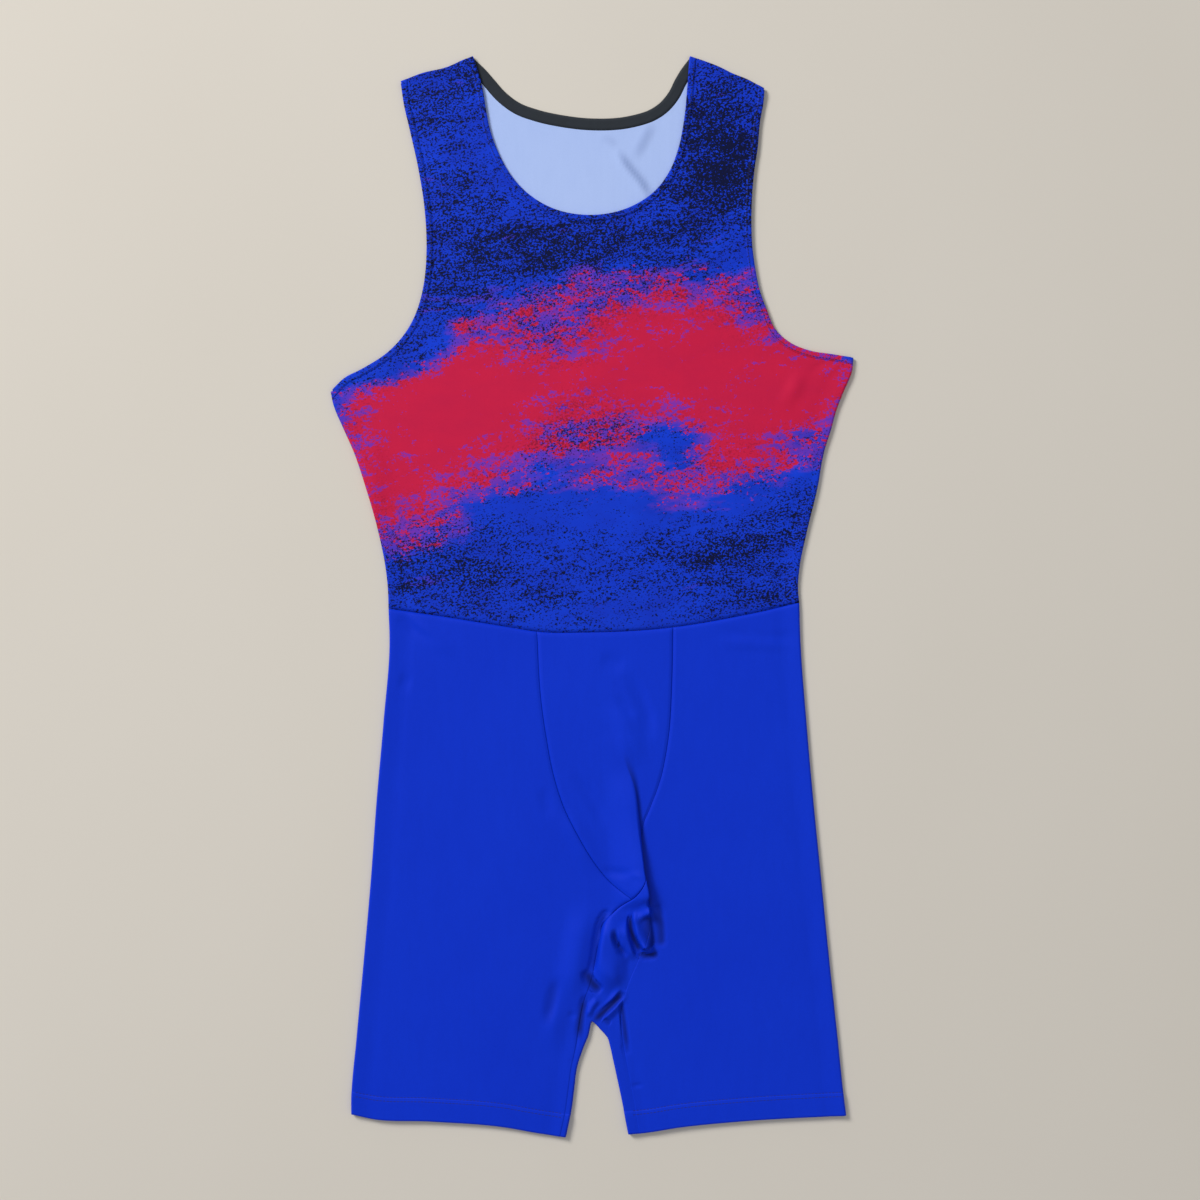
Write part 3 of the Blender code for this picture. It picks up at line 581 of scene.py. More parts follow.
class Garment:
    """How the whole garment lies: its height over any place, from its folds, its edges and its hems."""

    def __init__(self) -> None:
        """Works out the lines that all the pieces share."""
        self.waist = smooth(WAIST)
        self.hem = np.concatenate([smooth(LEFT_HEM), smooth(RIGHT_HEM)])
        self.gusset_edge = gusset_line(2)
        self.folded_edges = [
            np.concatenate([smooth(LEFT_OUTER, EDGE_STEPS)[::-1], smooth(LEFT_SIDE, EDGE_STEPS)[1:]]),
            np.concatenate([smooth(RIGHT_OUTER, EDGE_STEPS)[::-1], smooth(RIGHT_SIDE, EDGE_STEPS)[1:]]),
            smooth(LEFT_SHOULDER, EDGE_STEPS),
            smooth(RIGHT_SHOULDER, EDGE_STEPS),
            smooth([row[2:4] for row in GUSSET], 2),
        ]

    def above_hem(self, xy: np.ndarray) -> np.ndarray:
        """How far each place lies above the hem."""
        return xy[..., 1] - np.interp(xy[..., 0], self.hem[:, 0], self.hem[:, 1])

    def hem_share(self, xy: np.ndarray) -> np.ndarray:
        """1 where the cloth is turned up double at a hem, 0 above it."""
        return ease((HEM_DEPTH + HEM_RAMP - self.above_hem(xy)) / HEM_RAMP)

    def hem_groove(self, xy: np.ndarray) -> np.ndarray:
        """How far the hem's rows of stitches draw the cloth down."""
        return HEM_GROOVE_DEPTH * ease(1 - abs(self.above_hem(xy) - HEM_GROOVE) / HEM_GROOVE_REACH)

    def folded(self, xy: np.ndarray, spare: np.ndarray) -> tuple[np.ndarray, np.ndarray]:
        """What the folds do to the front layer.

        Args:
            xy: points seen from above.
            spare: how high the slack cloth rests there without any fold.

        Returns:
            How far the cloth is lifted, and how far it is pushed sideways.
        """
        lift = spare + WAVE_HEIGHT * ease(spare / SLACK) * waviness(xy)
        push = np.zeros(xy.shape)
        for fold in (*FOLDS.values(), *CREASES.values()):
            swell, left = fold.swell(xy)
            lift = lift + fold.height * swell
            push += left * (fold.lean * swell)[..., None]
        return np.maximum(lift, 0), push

    def front(self, xy: np.ndarray) -> np.ndarray:
        """The front layer's outer surface over these places, as rows of x, y and z."""
        distance = np.min([abs(nearest(xy, edge)[0]) for edge in self.folded_edges], axis=0)
        lift, push = self.folded(xy, SLACK * ease(distance / SLACK_REACH))
        puff = FOLD_PUFF * ease(1 - distance / PUFF_REACH)
        top = LAID_HEIGHT + puff + lift + 2 * (HEM_WALL - WALL) * self.hem_share(xy) - self.hem_groove(xy)
        return np.concatenate([xy + push, top[..., None]], axis=-1)

    def crease_shade(self, plan: Plan) -> np.ndarray:
        """How strongly painted crease shade darkens the cloth's colour at each point of a plan, from 0 to 1."""
        upward = np.sin(plan.turn[..., 0])
        deepest = np.zeros(upward.shape)
        for folds, faces_it in ((CREASES, upward), (BACK_CREASES, -upward)):
            for fold in folds.values():
                if fold.tuck:
                    deepest = np.maximum(deepest, fold.tuck * fold.swell(plan.xy)[0] * np.maximum(faces_it, 0))
        return deepest

    def back(self, xy: np.ndarray) -> np.ndarray:
        """How far the back layer is lifted off the table by its own creases."""
        lift = np.zeros(xy.shape[:-1])
        for fold in BACK_CREASES.values():
            lift += fold.height * fold.swell(xy)[0]
        return lift

    def surfaces(self, plan: Plan, lie: Lie = Lie.ROUND, wall: float = WALL, lift: float = 0.0) -> Shell:
        """A piece's outer and inner points over its plan.

        Args:
            plan: where the piece lies.
            lie: whether it stops at mid height at a fold, as a front or a back piece does, or turns right
                round.
            wall: how thick the cloth is.
            lift: how far its outer side stands above the cloth beside it.

        Returns:
            The two grids of points.
        """
        xy, turn = plan.xy, plan.turn
        rise = np.maximum(np.sin(turn), 0)
        resting = self.front(xy)
        top = resting[..., 2:] + lift - plan.dip * rise
        gap = SEAM_GAP * abs(lie.value)
        half = (top - gap) / 2
        middle = (top + lie.value * gap) / 2
        place = xy + (resting[..., :2] - xy) * rise
        under = (self.back(xy)[..., None] + UNDER_DIP * plan.dip) * np.maximum(-np.sin(turn), 0) ** 2
        outer = np.concatenate([place, middle + half * np.sin(turn) + under], axis=-1)
        depth = wall + (HEM_WALL - WALL) * self.hem_share(xy)[..., None]
        return Shell(outer, outer - facing_of(outer, turn) * depth, self.crease_shade(plan))


def waviness(xy: np.ndarray) -> np.ndarray:
    """Slow uneven swells from -1 to 1, as slack cloth has."""
    x, y = xy[..., 0], xy[..., 1]
    total = np.zeros(x.shape)
    for wave in WAVES:
        run = x * np.cos(wave.heading) + y * np.sin(wave.heading)
        bend = np.sin((x * np.sin(wave.heading) - y * np.cos(wave.heading)) / wave.bend_length)
        total += wave.weight * np.sin(run / wave.length + wave.bend * bend + wave.start)
    return total / sum(wave.weight for wave in WAVES)


def facing_of(outer: np.ndarray, turn: np.ndarray) -> np.ndarray:
    """Which way the outer surface faces at each point of its grid.

    Args:
        outer: the surface's points.
        turn: how far each has turned over a fold, used to tell the outer side.

    Returns:
        Unit vectors that point out of the garment.
    """
    facing = unit(np.cross(np.gradient(outer, axis=1), np.gradient(outer, axis=0)))
    flat = abs(np.sin(turn)) > FLAT_SINE
    agree = np.sum(facing[..., 2:] * np.sign(np.sin(turn)) * flat)
    return facing * (1 if agree > 0 else -1)


@dataclass
class Shell:
    """The outer and inner points of one piece of cloth, with how strongly painted crease shade darkens each, as like
    grids.
    """

    outer: np.ndarray
    inner: np.ndarray
    tuck: np.ndarray

    def build(self, name: str, outside: bpy.types.Material, inside: bpy.types.Material, ring: bool = False) -> bpy.types.Object:
        """Makes the mesh: both sides of the cloth, and rounded rims between them.

        Args:
            name: the piece's name.
            outside: what covers its outer side and its rims.
            inside: what covers its inner side.
            ring: whether its last row meets its first.

        Returns:
            The new object.
        """
        rows, columns = self.outer.shape[:2]
        index = np.arange(rows * columns).reshape(rows, columns)
        below = index.size
        points = [self.outer.reshape(-1, 3), self.inner.reshape(-1, 3)]
        if ring:
            index = np.concatenate([index, index[:1]])
        face = np.stack([index[:-1, :-1], index[:-1, 1:], index[1:, 1:], index[1:, :-1]], axis=-1).reshape(-1, 4)
        borders = [(index[:, -1], index[:, -2]), (index[::-1, 0], index[::-1, 1])]
        if not ring:
            borders += [(index[0], index[1]), (index[-1, ::-1], index[-2, ::-1])]
        quads = [face, face[:, ::-1] + below]
        count = 2 * below
        flat = points[0]
        for edge, inside_row in borders:
            out = unit(flat[edge] - flat[inside_row])
            middle = (points[0][edge] + points[1][edge]) / 2 + out * RIM_ROUND
            points.append(middle)
            rim = count + np.arange(len(edge))
            count += len(edge)
            for upper, lower in ((edge, rim), (rim, edge + below)):
                quads.append(np.stack([upper[1:], upper[:-1], lower[:-1], lower[1:]], axis=-1))
        faces = np.concatenate(quads)
        made = new_mesh(name, np.concatenate(points), faces)
        made.data.materials.append(outside)
        made.data.materials.append(inside)
        slots = np.zeros(len(faces), np.int32)
        slots[len(face) : 2 * len(face)] = 1
        made.data.polygons.foreach_set("material_index", slots)
        # The tuck grid is painted crease shade, kept on the mesh for the plain knits to darken their colour with
        shade = np.zeros(len(made.data.vertices), np.float32)
        shade[: 2 * below] = np.tile(self.tuck.ravel(), 2)
        made.data.attributes.new(CREASE_SHADE_ATTRIBUTE, "FLOAT", "POINT").data.foreach_set("value", shade)
        return made


def new_mesh(name: str, points: np.ndarray, faces: np.ndarray) -> bpy.types.Object:
    """An object from points in millimetres, its faces turned so that they all face out.

    Args:
        name: the object's name.
        points: rows of x, y and z.
        faces: rows of four point numbers that all run the same way.

    Returns:
        The new object, linked to the scene.
    """
    corners = points[faces]
    volume = sum(np.linalg.det(corners[:, fan]).sum() for fan in ((0, 1, 2), (0, 2, 3)))
    if volume < 0:
        faces = faces[:, ::-1]
    mesh = bpy.data.meshes.new(name)
    mesh.vertices.add(len(points))
    mesh.vertices.foreach_set("co", (points * METRES).ravel())
    mesh.loops.add(faces.size)
    mesh.loops.foreach_set("vertex_index", faces.ravel().astype(np.int32))
    mesh.polygons.add(len(faces))
    mesh.polygons.foreach_set("loop_start", np.arange(0, faces.size, faces.shape[1], dtype=np.int32))
    mesh.update(calc_edges=True)
    mesh.validate()
    mesh.polygons.foreach_set("use_smooth", [True] * len(mesh.polygons))
    made = bpy.data.objects.new(name, mesh)
    bpy.context.scene.collection.objects.link(made)
    return made


FOLDS = {
    "main crease": Fold(
        ((22, -118), (29, -147), (34, -172), (37, -199), (38.5, -228), (41, -262), (45, -291)),
        8.5, 9.5, 26, 7.0, 0.45, 0.08,
    ),
    "gusset facet": Fold(((26, -286), (13, -314), (12, -352), (16, -372)), 5.5, 15, 12, 0, 0.35, 0.3),
    "gusset rim": Fold(((50, -281), (49, -297), (51, -322), (50, -334)), 5.5, 8, 9, 3, 0.25, 0.15),
    "gusset slot": Fold(((36, -296), (38, -315), (43, -334)), -6.0, 5, 5, 0, 0.3, 0.3),
    "crotch ridge": Fold(((30, -362), (16, -384), (6, -392)), 4.0, 9, 9, 0, 0.4, 0.3),
    "left seam swell": Fold(((-30, -196), (-12, -226), (4, -262)), 1.6, 16, 16, 0, 0.4, 0.4),
    "panel swell": Fold(((14, -96), (30, -118), (44, -160)), 1.8, 15, 17, 0, 0.4, 0.4),
    "left hip swell": Fold(((-172, -16), (-150, -36), (-122, -58)), 1.6, 13, 13, 0, 0.4, 0.5),
    "right hip swell": Fold(((108, -42), (150, -40), (186, -44)), 1.4, 12, 12, 0, 0.5, 0.3),
    "left inner leg swell": Fold(((-24, -362), (-34, -392), (-40, -428)), 1.6, 14, 14, 0, 0.5, 0.5),
    "left flank swell": Fold(((-216, 160), (-200, 122), (-184, 84)), 1.6, 12, 12, 0, 0.5, 0.5),
    "right flank swell": Fold(((212, 150), (196, 116), (190, 84)), 1.4, 12, 12, 0, 0.5, 0.5),
    "right armhole pucker": Fold(((196, 214), (186, 190), (172, 170)), 1.4, 11, 11, 0, 0.4, 0.6),
}

# Smaller creases of the front layer, which the solids leave out. Where a crease has a tuck, painted shade darkens the
# cloth's colour along it.
CREASES = {
    "left hip trough": Fold(((-181.4, -19.1), (-158.1, -34.9), (-133.9, -47.0)), -1.7, 7, 9, 0, 0.2, 0.7),
    "left hip dimple": Fold(((-181.4, -77.7), (-165.5, -81.4)), -0.8, 12, 12),
    "right waist trough": Fold(((109.7, -33.0), (151.6, -37.7), (193.4, -38.6)), -1.2, 9, 10, 0, 0.4, 0.25),
    "panel dimple": Fold(((6.5, -55.3), (31.6, -67.4)), -1.0, 13, 13),
    "panel valley": Fold(
        ((31.6, -67.4), (44.6, -90.7), (53.0, -114.9), (55.8, -137.2)), -1.5, 9, 12, 0, 0.35, 0.35
    ),
    "panel short trough": Fold(((21.4, -90.7), (40.9, -114.9)), -0.9, 8, 8),
    "panel diagonal trough": Fold(((-20.5, -161.4), (1.9, -190.2), (14.9, -219.9)), -1.3, 10, 10),
    "left seam trough": Fold(((-46.5, -176.2), (-38.1, -206.9)), -0.9, 9, 9),
    "panel cross crease": Fold(((6.5, -254.4), (22.3, -256.2), (38.1, -258.1)), -1.2, 6, 7),
    "panel cross ridge": Fold(((25.1, -261.8), (34.4, -258.1), (42.8, -263.7)), 1.0, 5, 5),
    "upper crease ease": Fold(
        ((24, -130), (34, -172), (37, -199), (38.5, -228), (41, -256)), -4.2, 9.5, 26, -4.0, 0.3, 0.45
    ),
    "crease foot": Fold(((41, -252), (44, -275), (47, -298)), 2.6, 8, 16, 2.0, 0.5, 0.2),
    # A line of painted shade alone, with no height, along the shaded side of the main crease
    "crease shade line": Fold(
        ((26, -140), (33, -158), (38, -175), (42, -200), (44.6, -219), (47.4, -247), (50.3, -270), (56, -296)),
        0, 6, 1.6, 0, 0.2, 0.1, 0.5,
    ),
    "leg roll": Fold(((2, -282), (-7, -300), (-12, -325), (-17, -352), (-24, -384)), 3.2, 15, 20, 0, 0.35, 0.35),
    "facet valley": Fold(
        ((17, -289), (9.5, -299), (5, -316), (2, -336), (-2, -352)), -6.0, 4.5, 5, 0, 0.2, 0.2, 0.4
    ),
    "facet face": Fold(((27, -298), (24, -325), (22, -350), (24, -367)), 4.6, 13, 13, 0, 0.25, 0.25),
    "facet edge": Fold(((22, -297), (14, -306), (10, -322), (8, -342), (13, -360)), 1.2, 14, 5, 0, 0.3, 0.3),
    "facet crescent": Fold(((21, -306), (22, -317), (27, -327), (34, -334)), -4.2, 3.5, 5.5, 0, 0.3, 0.3, 0.5),
    "slot near rim": Fold(((30, -300), (33, -314), (37, -328), (40, -338)), 4.0, 3.4, 8.5, 0, 0.3, 0.3),
    "crotch slot": Fold(((35, -296), (36, -308), (40, -320), (45, -330)), -8.5, 3.6, 3.4, 0, 0.15, 0.15, 0.95),
    "flap": Fold(((40.5, -291), (39, -302), (42.5, -315), (47.5, -327)), 6.0, 7, 3, 0, 0.25, 0.05),
    "flap hollow": Fold(((50, -293), (50, -308), (54, -325)), -3.5, 11, 8, 0, 0.2, 0.05, 0.65),
    "flap rim": Fold(((41, -300), (48, -293), (54, -286)), 2.2, 3, 4, 0, 0.25, 0.3),
    "flap shadow": Fold(((60, -282), (64, -304), (65, -326)), -3.5, 5, 8, 0, 0.3, 0.15, 0.6),
    "flap foot": Fold(((43, -329), (50, -332.5), (62, -330)), -5.5, 2.6, 6, 0, 0.2, 0.3, 0.85),
    "facet pocket": Fold(((-6, -345), (-1, -357), (10, -367)), -6.5, 6, 8, 0, 0.3, 0.3, 0.8),
    "inner strip": Fold(((7, -372), (0, -380), (-5, -391)), 2.4, 5, 5, 0, 0.3, 0.3),
    "inner valley": Fold(((-6, -368), (-10, -386), (-13, -414)), -4.5, 5.5, 4.5, 0, 0.3, 0.3, 0.8),
    "diagonal pocket": Fold(((30, -366), (20, -377), (9, -387), (-1, -396)), -7.0, 5, 4.5, 0, 0.2, 0.25, 0.9),
    "low pocket": Fold(((10, -392), (18, -397)), -2.0, 4, 4, 0, 0.4, 0.4, 0.4),
    "right seam valley": Fold(((27, -374), (29.5, -394), (34, -428)), -3.4, 3.6, 4.4, 0, 0.2, 0.4, 0.62),
    "left leg trough": Fold(((-31, -350), (-37, -372), (-43, -402)), -2.4, 7, 7, 0, 0.4, 0.4, 0.25),
    "seam nick": Fold(((-23.2, -386.4), (-14.0, -391.1)), -1.0, 5, 5),
    "seam tuck": Fold(((-15.8, -411.5), (-1.9, -419.9)), -1.2, 4, 4),
    "seam line crease": Fold(((-19.5, -427.3), (-16.7, -446.9)), -0.9, 4, 4),
    "right v crease": Fold(((26.0, -416.2), (35.3, -424.5)), -1.1, 4, 4),
    "right seam pucker": Fold(((35.3, -454.3), (48.4, -453.4)), -0.8, 3.5, 3.5),
    "left side ridge": Fold(((-225.1, 154.8), (-208.3, 119.5), (-192.5, 85.1)), 1.0, 8, 8),
    "chest crease": Fold(((69.8, 305.5), (91.1, 293.4), (112.5, 284.1)), -0.6, 7, 7),
    "armpit pucker": Fold(((226.9, 218.1), (215.8, 203.2)), 0.9, 5, 5),
    "armpit tuck": Fold(((213.9, 221.8), (204.6, 205.1)), -0.8, 5, 5),
}

# Creases of the back layer: those that show in the neck opening, and similar ones on the underside. Where one has a
# tuck, painted shade darkens the cloth's colour along it.
BACK_CREASES = {
    "neck crease": Fold(((21, 419), (33, 402), (46, 386), (58, 364)), 1.1, 6, 12, 0, 0.3, 0.35),
    # A thin line of painted shade along the foot of the neck crease, over a very shallow trough
    "neck crease foot": Fold(((22, 418), (33, 401), (46, 385), (57, 366)), -0.3, 6, 5, 0, 0.3, 0.3, 0.75),
    "neck soft crease": Fold(((58, 443), (50, 427), (42, 412), (37, 403)), 0.4, 8, 8, 0, 0.3, 0.4, 0.42),
    "neck arc crease": Fold(((4, 427), (17, 424), (23, 415)), 0.3, 7, 7, 0, 0.4, 0.4, 0.2),
    "back chest crease": Fold(((-84, 300), (-40, 282), (10, 280)), 0.8, 9, 9),
    "back waist crease": Fold(((-120, 44), (-60, 30), (6, 34)), 0.8, 9, 9),
    "back hip crease": Fold(((60, -60), (110, -74), (160, -70)), 0.8, 9, 9),
    "back seat crease": Fold(((-30, -190), (-10, -240), (-4, -300)), 1.0, 9, 12),
    "back thigh crease": Fold(((-150, -230), (-110, -260), (-60, -270)), 0.8, 9, 9),
}

# How each stitch is shaped, and how far in from their edges the rows run
SPINDLE_STATIONS = 5
SPINDLE_SIDES = 6
SPINDLE_TIP = 0.12
HEM_ROWS = (18.0, 21.5)
NECK_ROWS = (4.4,)


class Value:
    """A number or vector on its way through a material's nodes, on which Python's operators work."""

    def __init__(self, graph: Graph, socket: bpy.types.NodeSocket) -> None:
        """Wraps a node's output."""
        self.graph = graph
        self.socket = socket

    def _maths(self, operation: str, first: Any, second: Any) -> Value:
        """The Math node for one operator."""
        return self.graph.node("ShaderNodeMath", {"operation": operation}, {0: first, 1: second})

    def __add__(self, other: Value | float) -> Value:
        """The sum."""
        return self._maths("ADD", self, other)

    def __radd__(self, other: float) -> Value:
        """The sum."""
        return self._maths("ADD", other, self)

    def __sub__(self, other: Value | float) -> Value:
        """The difference."""
        return self._maths("SUBTRACT", self, other)

    def __rsub__(self, other: float) -> Value:
        """The difference, from the other."""
        return self._maths("SUBTRACT", other, self)

    def __mul__(self, other: Value | float) -> Value:
        """The product."""
        return self._maths("MULTIPLY", self, other)

    def __rmul__(self, other: float) -> Value:
        """The product."""
        return self._maths("MULTIPLY", other, self)

    def clamped(self) -> Value:
        """The value held between 0 and 1."""
        return self.graph.node("ShaderNodeClamp", {}, {0: self})

    def sine(self) -> Value:
        """The value's sine."""
        return self.graph.node("ShaderNodeMath", {"operation": "SINE"}, {0: self})

    def at_most(self, other: Value | float) -> Value:
        """The lower of the two."""
        return self._maths("MINIMUM", self, other)

    def at_least(self, other: Value | float) -> Value:
        """The higher of the two."""
        return self._maths("MAXIMUM", self, other)


class Graph:
    """The nodes of one material."""

    def __init__(self, name: str) -> None:
        """Starts a material with its shader alone."""
        self.material = bpy.data.materials.new(name)
        self.material.use_nodes = True
        self.tree = self.material.node_tree
        self.shader = self.tree.nodes["Principled BSDF"]

    def node(self, kind: str, settings: dict[str, Any], inputs: dict[int | str, Any], output: int | str = 0) -> Value:
        """Adds one node.

        Args:
            kind: the node's type.
            settings: what is set on the node first, such as its operation.
            inputs: values or links for its sockets, by number or name.
            output: which of its outputs is wanted.

        Returns:
            That output.
        """
        made = self.tree.nodes.new(kind)
        for key, value in settings.items():
            setattr(made, key, value)
        for key, value in inputs.items():
            if isinstance(value, Value):
                self.tree.links.new(value.socket, made.inputs[key])
            else:
                made.inputs[key].default_value = value
        return Value(self, made.outputs[output])

    def place(self) -> Value:
        """Where the surface is in the garment's own frame, in metres."""
        return self.node("ShaderNodeTexCoord", {}, {}, "Object")

    def kept(self, name: str) -> Value:
        """A number that the mesh keeps at each of its points."""
        return self.node("ShaderNodeAttribute", {"attribute_name": name}, {}, "Fac")

    def split(self, vector: Value) -> tuple[Value, Value, Value]:
        """The three parts of a vector."""
        made = self.tree.nodes.new("ShaderNodeSeparateXYZ")
        self.tree.links.new(vector.socket, made.inputs[0])
        return Value(self, made.outputs[0]), Value(self, made.outputs[1]), Value(self, made.outputs[2])

    def vector(self, operation: str, first: Any, second: Any, output: int = 0) -> Value:
        """One step of vector maths."""
        return self.node("ShaderNodeVectorMath", {"operation": operation}, {0: first, 1: second}, output)

    def noise(self, place: Value, stretch: tuple[float, float, float], detail: float = 2.0, rough: float = 0.5) -> Value:
        """Cloudy noise around one half.

        Args:
            place: the point in metres.
            stretch: how many lumps there are to the metre along each axis.
            detail: how many finer layers it has.
            rough: how strong the finer ones are.

        Returns:
            The noise.
        """
        scaled = self.vector("MULTIPLY", place, stretch)
        return self.node(
            "ShaderNodeTexNoise", {}, {"Vector": scaled, "Scale": 1.0, "Detail": detail, "Roughness": rough}
        )

    def mix(self, share: Any, first: Any, second: Any) -> Value:
        """Two colours mixed by a share."""
        return self.node("ShaderNodeMix", {"data_type": "RGBA"}, {0: share, 6: first, 7: second}, 2)

    def set(self, **sockets: float | tuple[float, ...]) -> None:
        """Sets constants on the shader's own sockets, their names with underlines for spaces."""
        for name, value in sockets.items():
            self.shader.inputs[name.replace("_", " ")].default_value = value

    def feed(self, socket: str, value: Value) -> None:
        """Links a value to one of the shader's sockets."""
        self.tree.links.new(value.socket, self.shader.inputs[socket])

    def bump(self, height: Value, strength: float, depth: float) -> None:
        """Feeds the shader's normal from a height.

        Args:
            height: the height, from 0 to 1.
            strength: how much of it shows.
            depth: the real height in metres of 1.
        """
        made = self.node("ShaderNodeBump", {}, {"Strength": strength, "Distance": depth, "Height": height})
        self.feed("Normal", made)


def colour(red: int, green: int, blue: int) -> tuple[float, float, float, float]:
    """A screen colour from 0 to 255 as the linear one that a shader takes."""
    shares = [part / 255 for part in (red, green, blue)]
    linear = [s / 12.92 if s <= 0.04045 else ((s + 0.055) / 1.055) ** 2.4 for s in shares]
    return (*linear, 1.0)


def knit_height(graph: Graph, place: Value, weave: Weave) -> Value:
    """The loops of a fine knit, from 0 to 1, a little uneven."""
    wander = graph.noise(place, (60, 60, 60), 1.0)
    x, y, _ = graph.split(place)
    wales = ((x * (2 * np.pi / weave.wale)) + wander * 5.0).sine()
    courses = ((y * (2 * np.pi / weave.course)) + wander * 4.0).sine()
    grain = graph.noise(place, (1500, 1100, 1500), 2.0)
    return wales * 0.22 + courses * 0.13 + grain * 0.6 + 0.2


class DyeAndShade(NamedTuple):
    """The colours of a plain cloth: where it is full, where it has worn pale, in its grain, and the painted shade of
    its deepest creases.
    """

    full: tuple[float, float, float, float]
    pale: tuple[float, float, float, float]
    deep: tuple[float, float, float, float]
    crease_shade: tuple[float, float, float, float]


@dataclass(frozen=True)
class PlainKnit:
    """A smooth matt stretch knit of one colour."""

    name: str
    dye_and_shade: DyeAndShade
    weave: Weave = Weave(0.0011, 0.0009, 0.00016)
    roughness: float = 0.62
    sheen: float = 0.04

    def build(self) -> bpy.types.Material:
        """Makes the material."""
        graph = Graph(self.name)
        place = graph.place()
        cloud = graph.noise(place, (7, 5, 7), 3.0, 0.55)
        streak = graph.noise(place, (120, 40, 120), 3.0, 0.6)
        grain = graph.noise(place, (900, 700, 900), 2.0, 0.7)
        height = knit_height(graph, place, self.weave)
        shade = graph.mix((cloud * 1.6 - 0.3).clamped() * 0.5, self.dye_and_shade.full, self.dye_and_shade.pale)
        shade = graph.mix((streak * 2.0 - 0.72).clamped() * 0.12, shade, self.dye_and_shade.deep)
        shade = graph.mix((grain * 2.4 - 1.0).clamped() * 0.22, shade, self.dye_and_shade.deep)
        # Painted shade: the colour is darkened towards the crease-shade colour where the mesh's tuck attribute marks
        # a deep crease
        shade = graph.mix(graph.kept(CREASE_SHADE_ATTRIBUTE) * 0.9, shade, self.dye_and_shade.crease_shade)
        graph.feed("Base Color", shade)
        graph.feed("Roughness", streak * 0.14 + (self.roughness - 0.07))
        graph.bump(height, 0.5, self.weave.depth)
        graph.set(Specular_IOR_Level=0.12, Sheen_Weight=self.sheen, Sheen_Roughness=0.4)
        graph.set(Sheen_Tint=self.dye_and_shade.pale)
        return graph.material


class Cloud(NamedTuple):
    """One broad soft patch of the print, in millimetres, with its tilt in degrees."""

    x: float
    y: float
    wide: float
    tall: float
    tilt: float
    weight: float


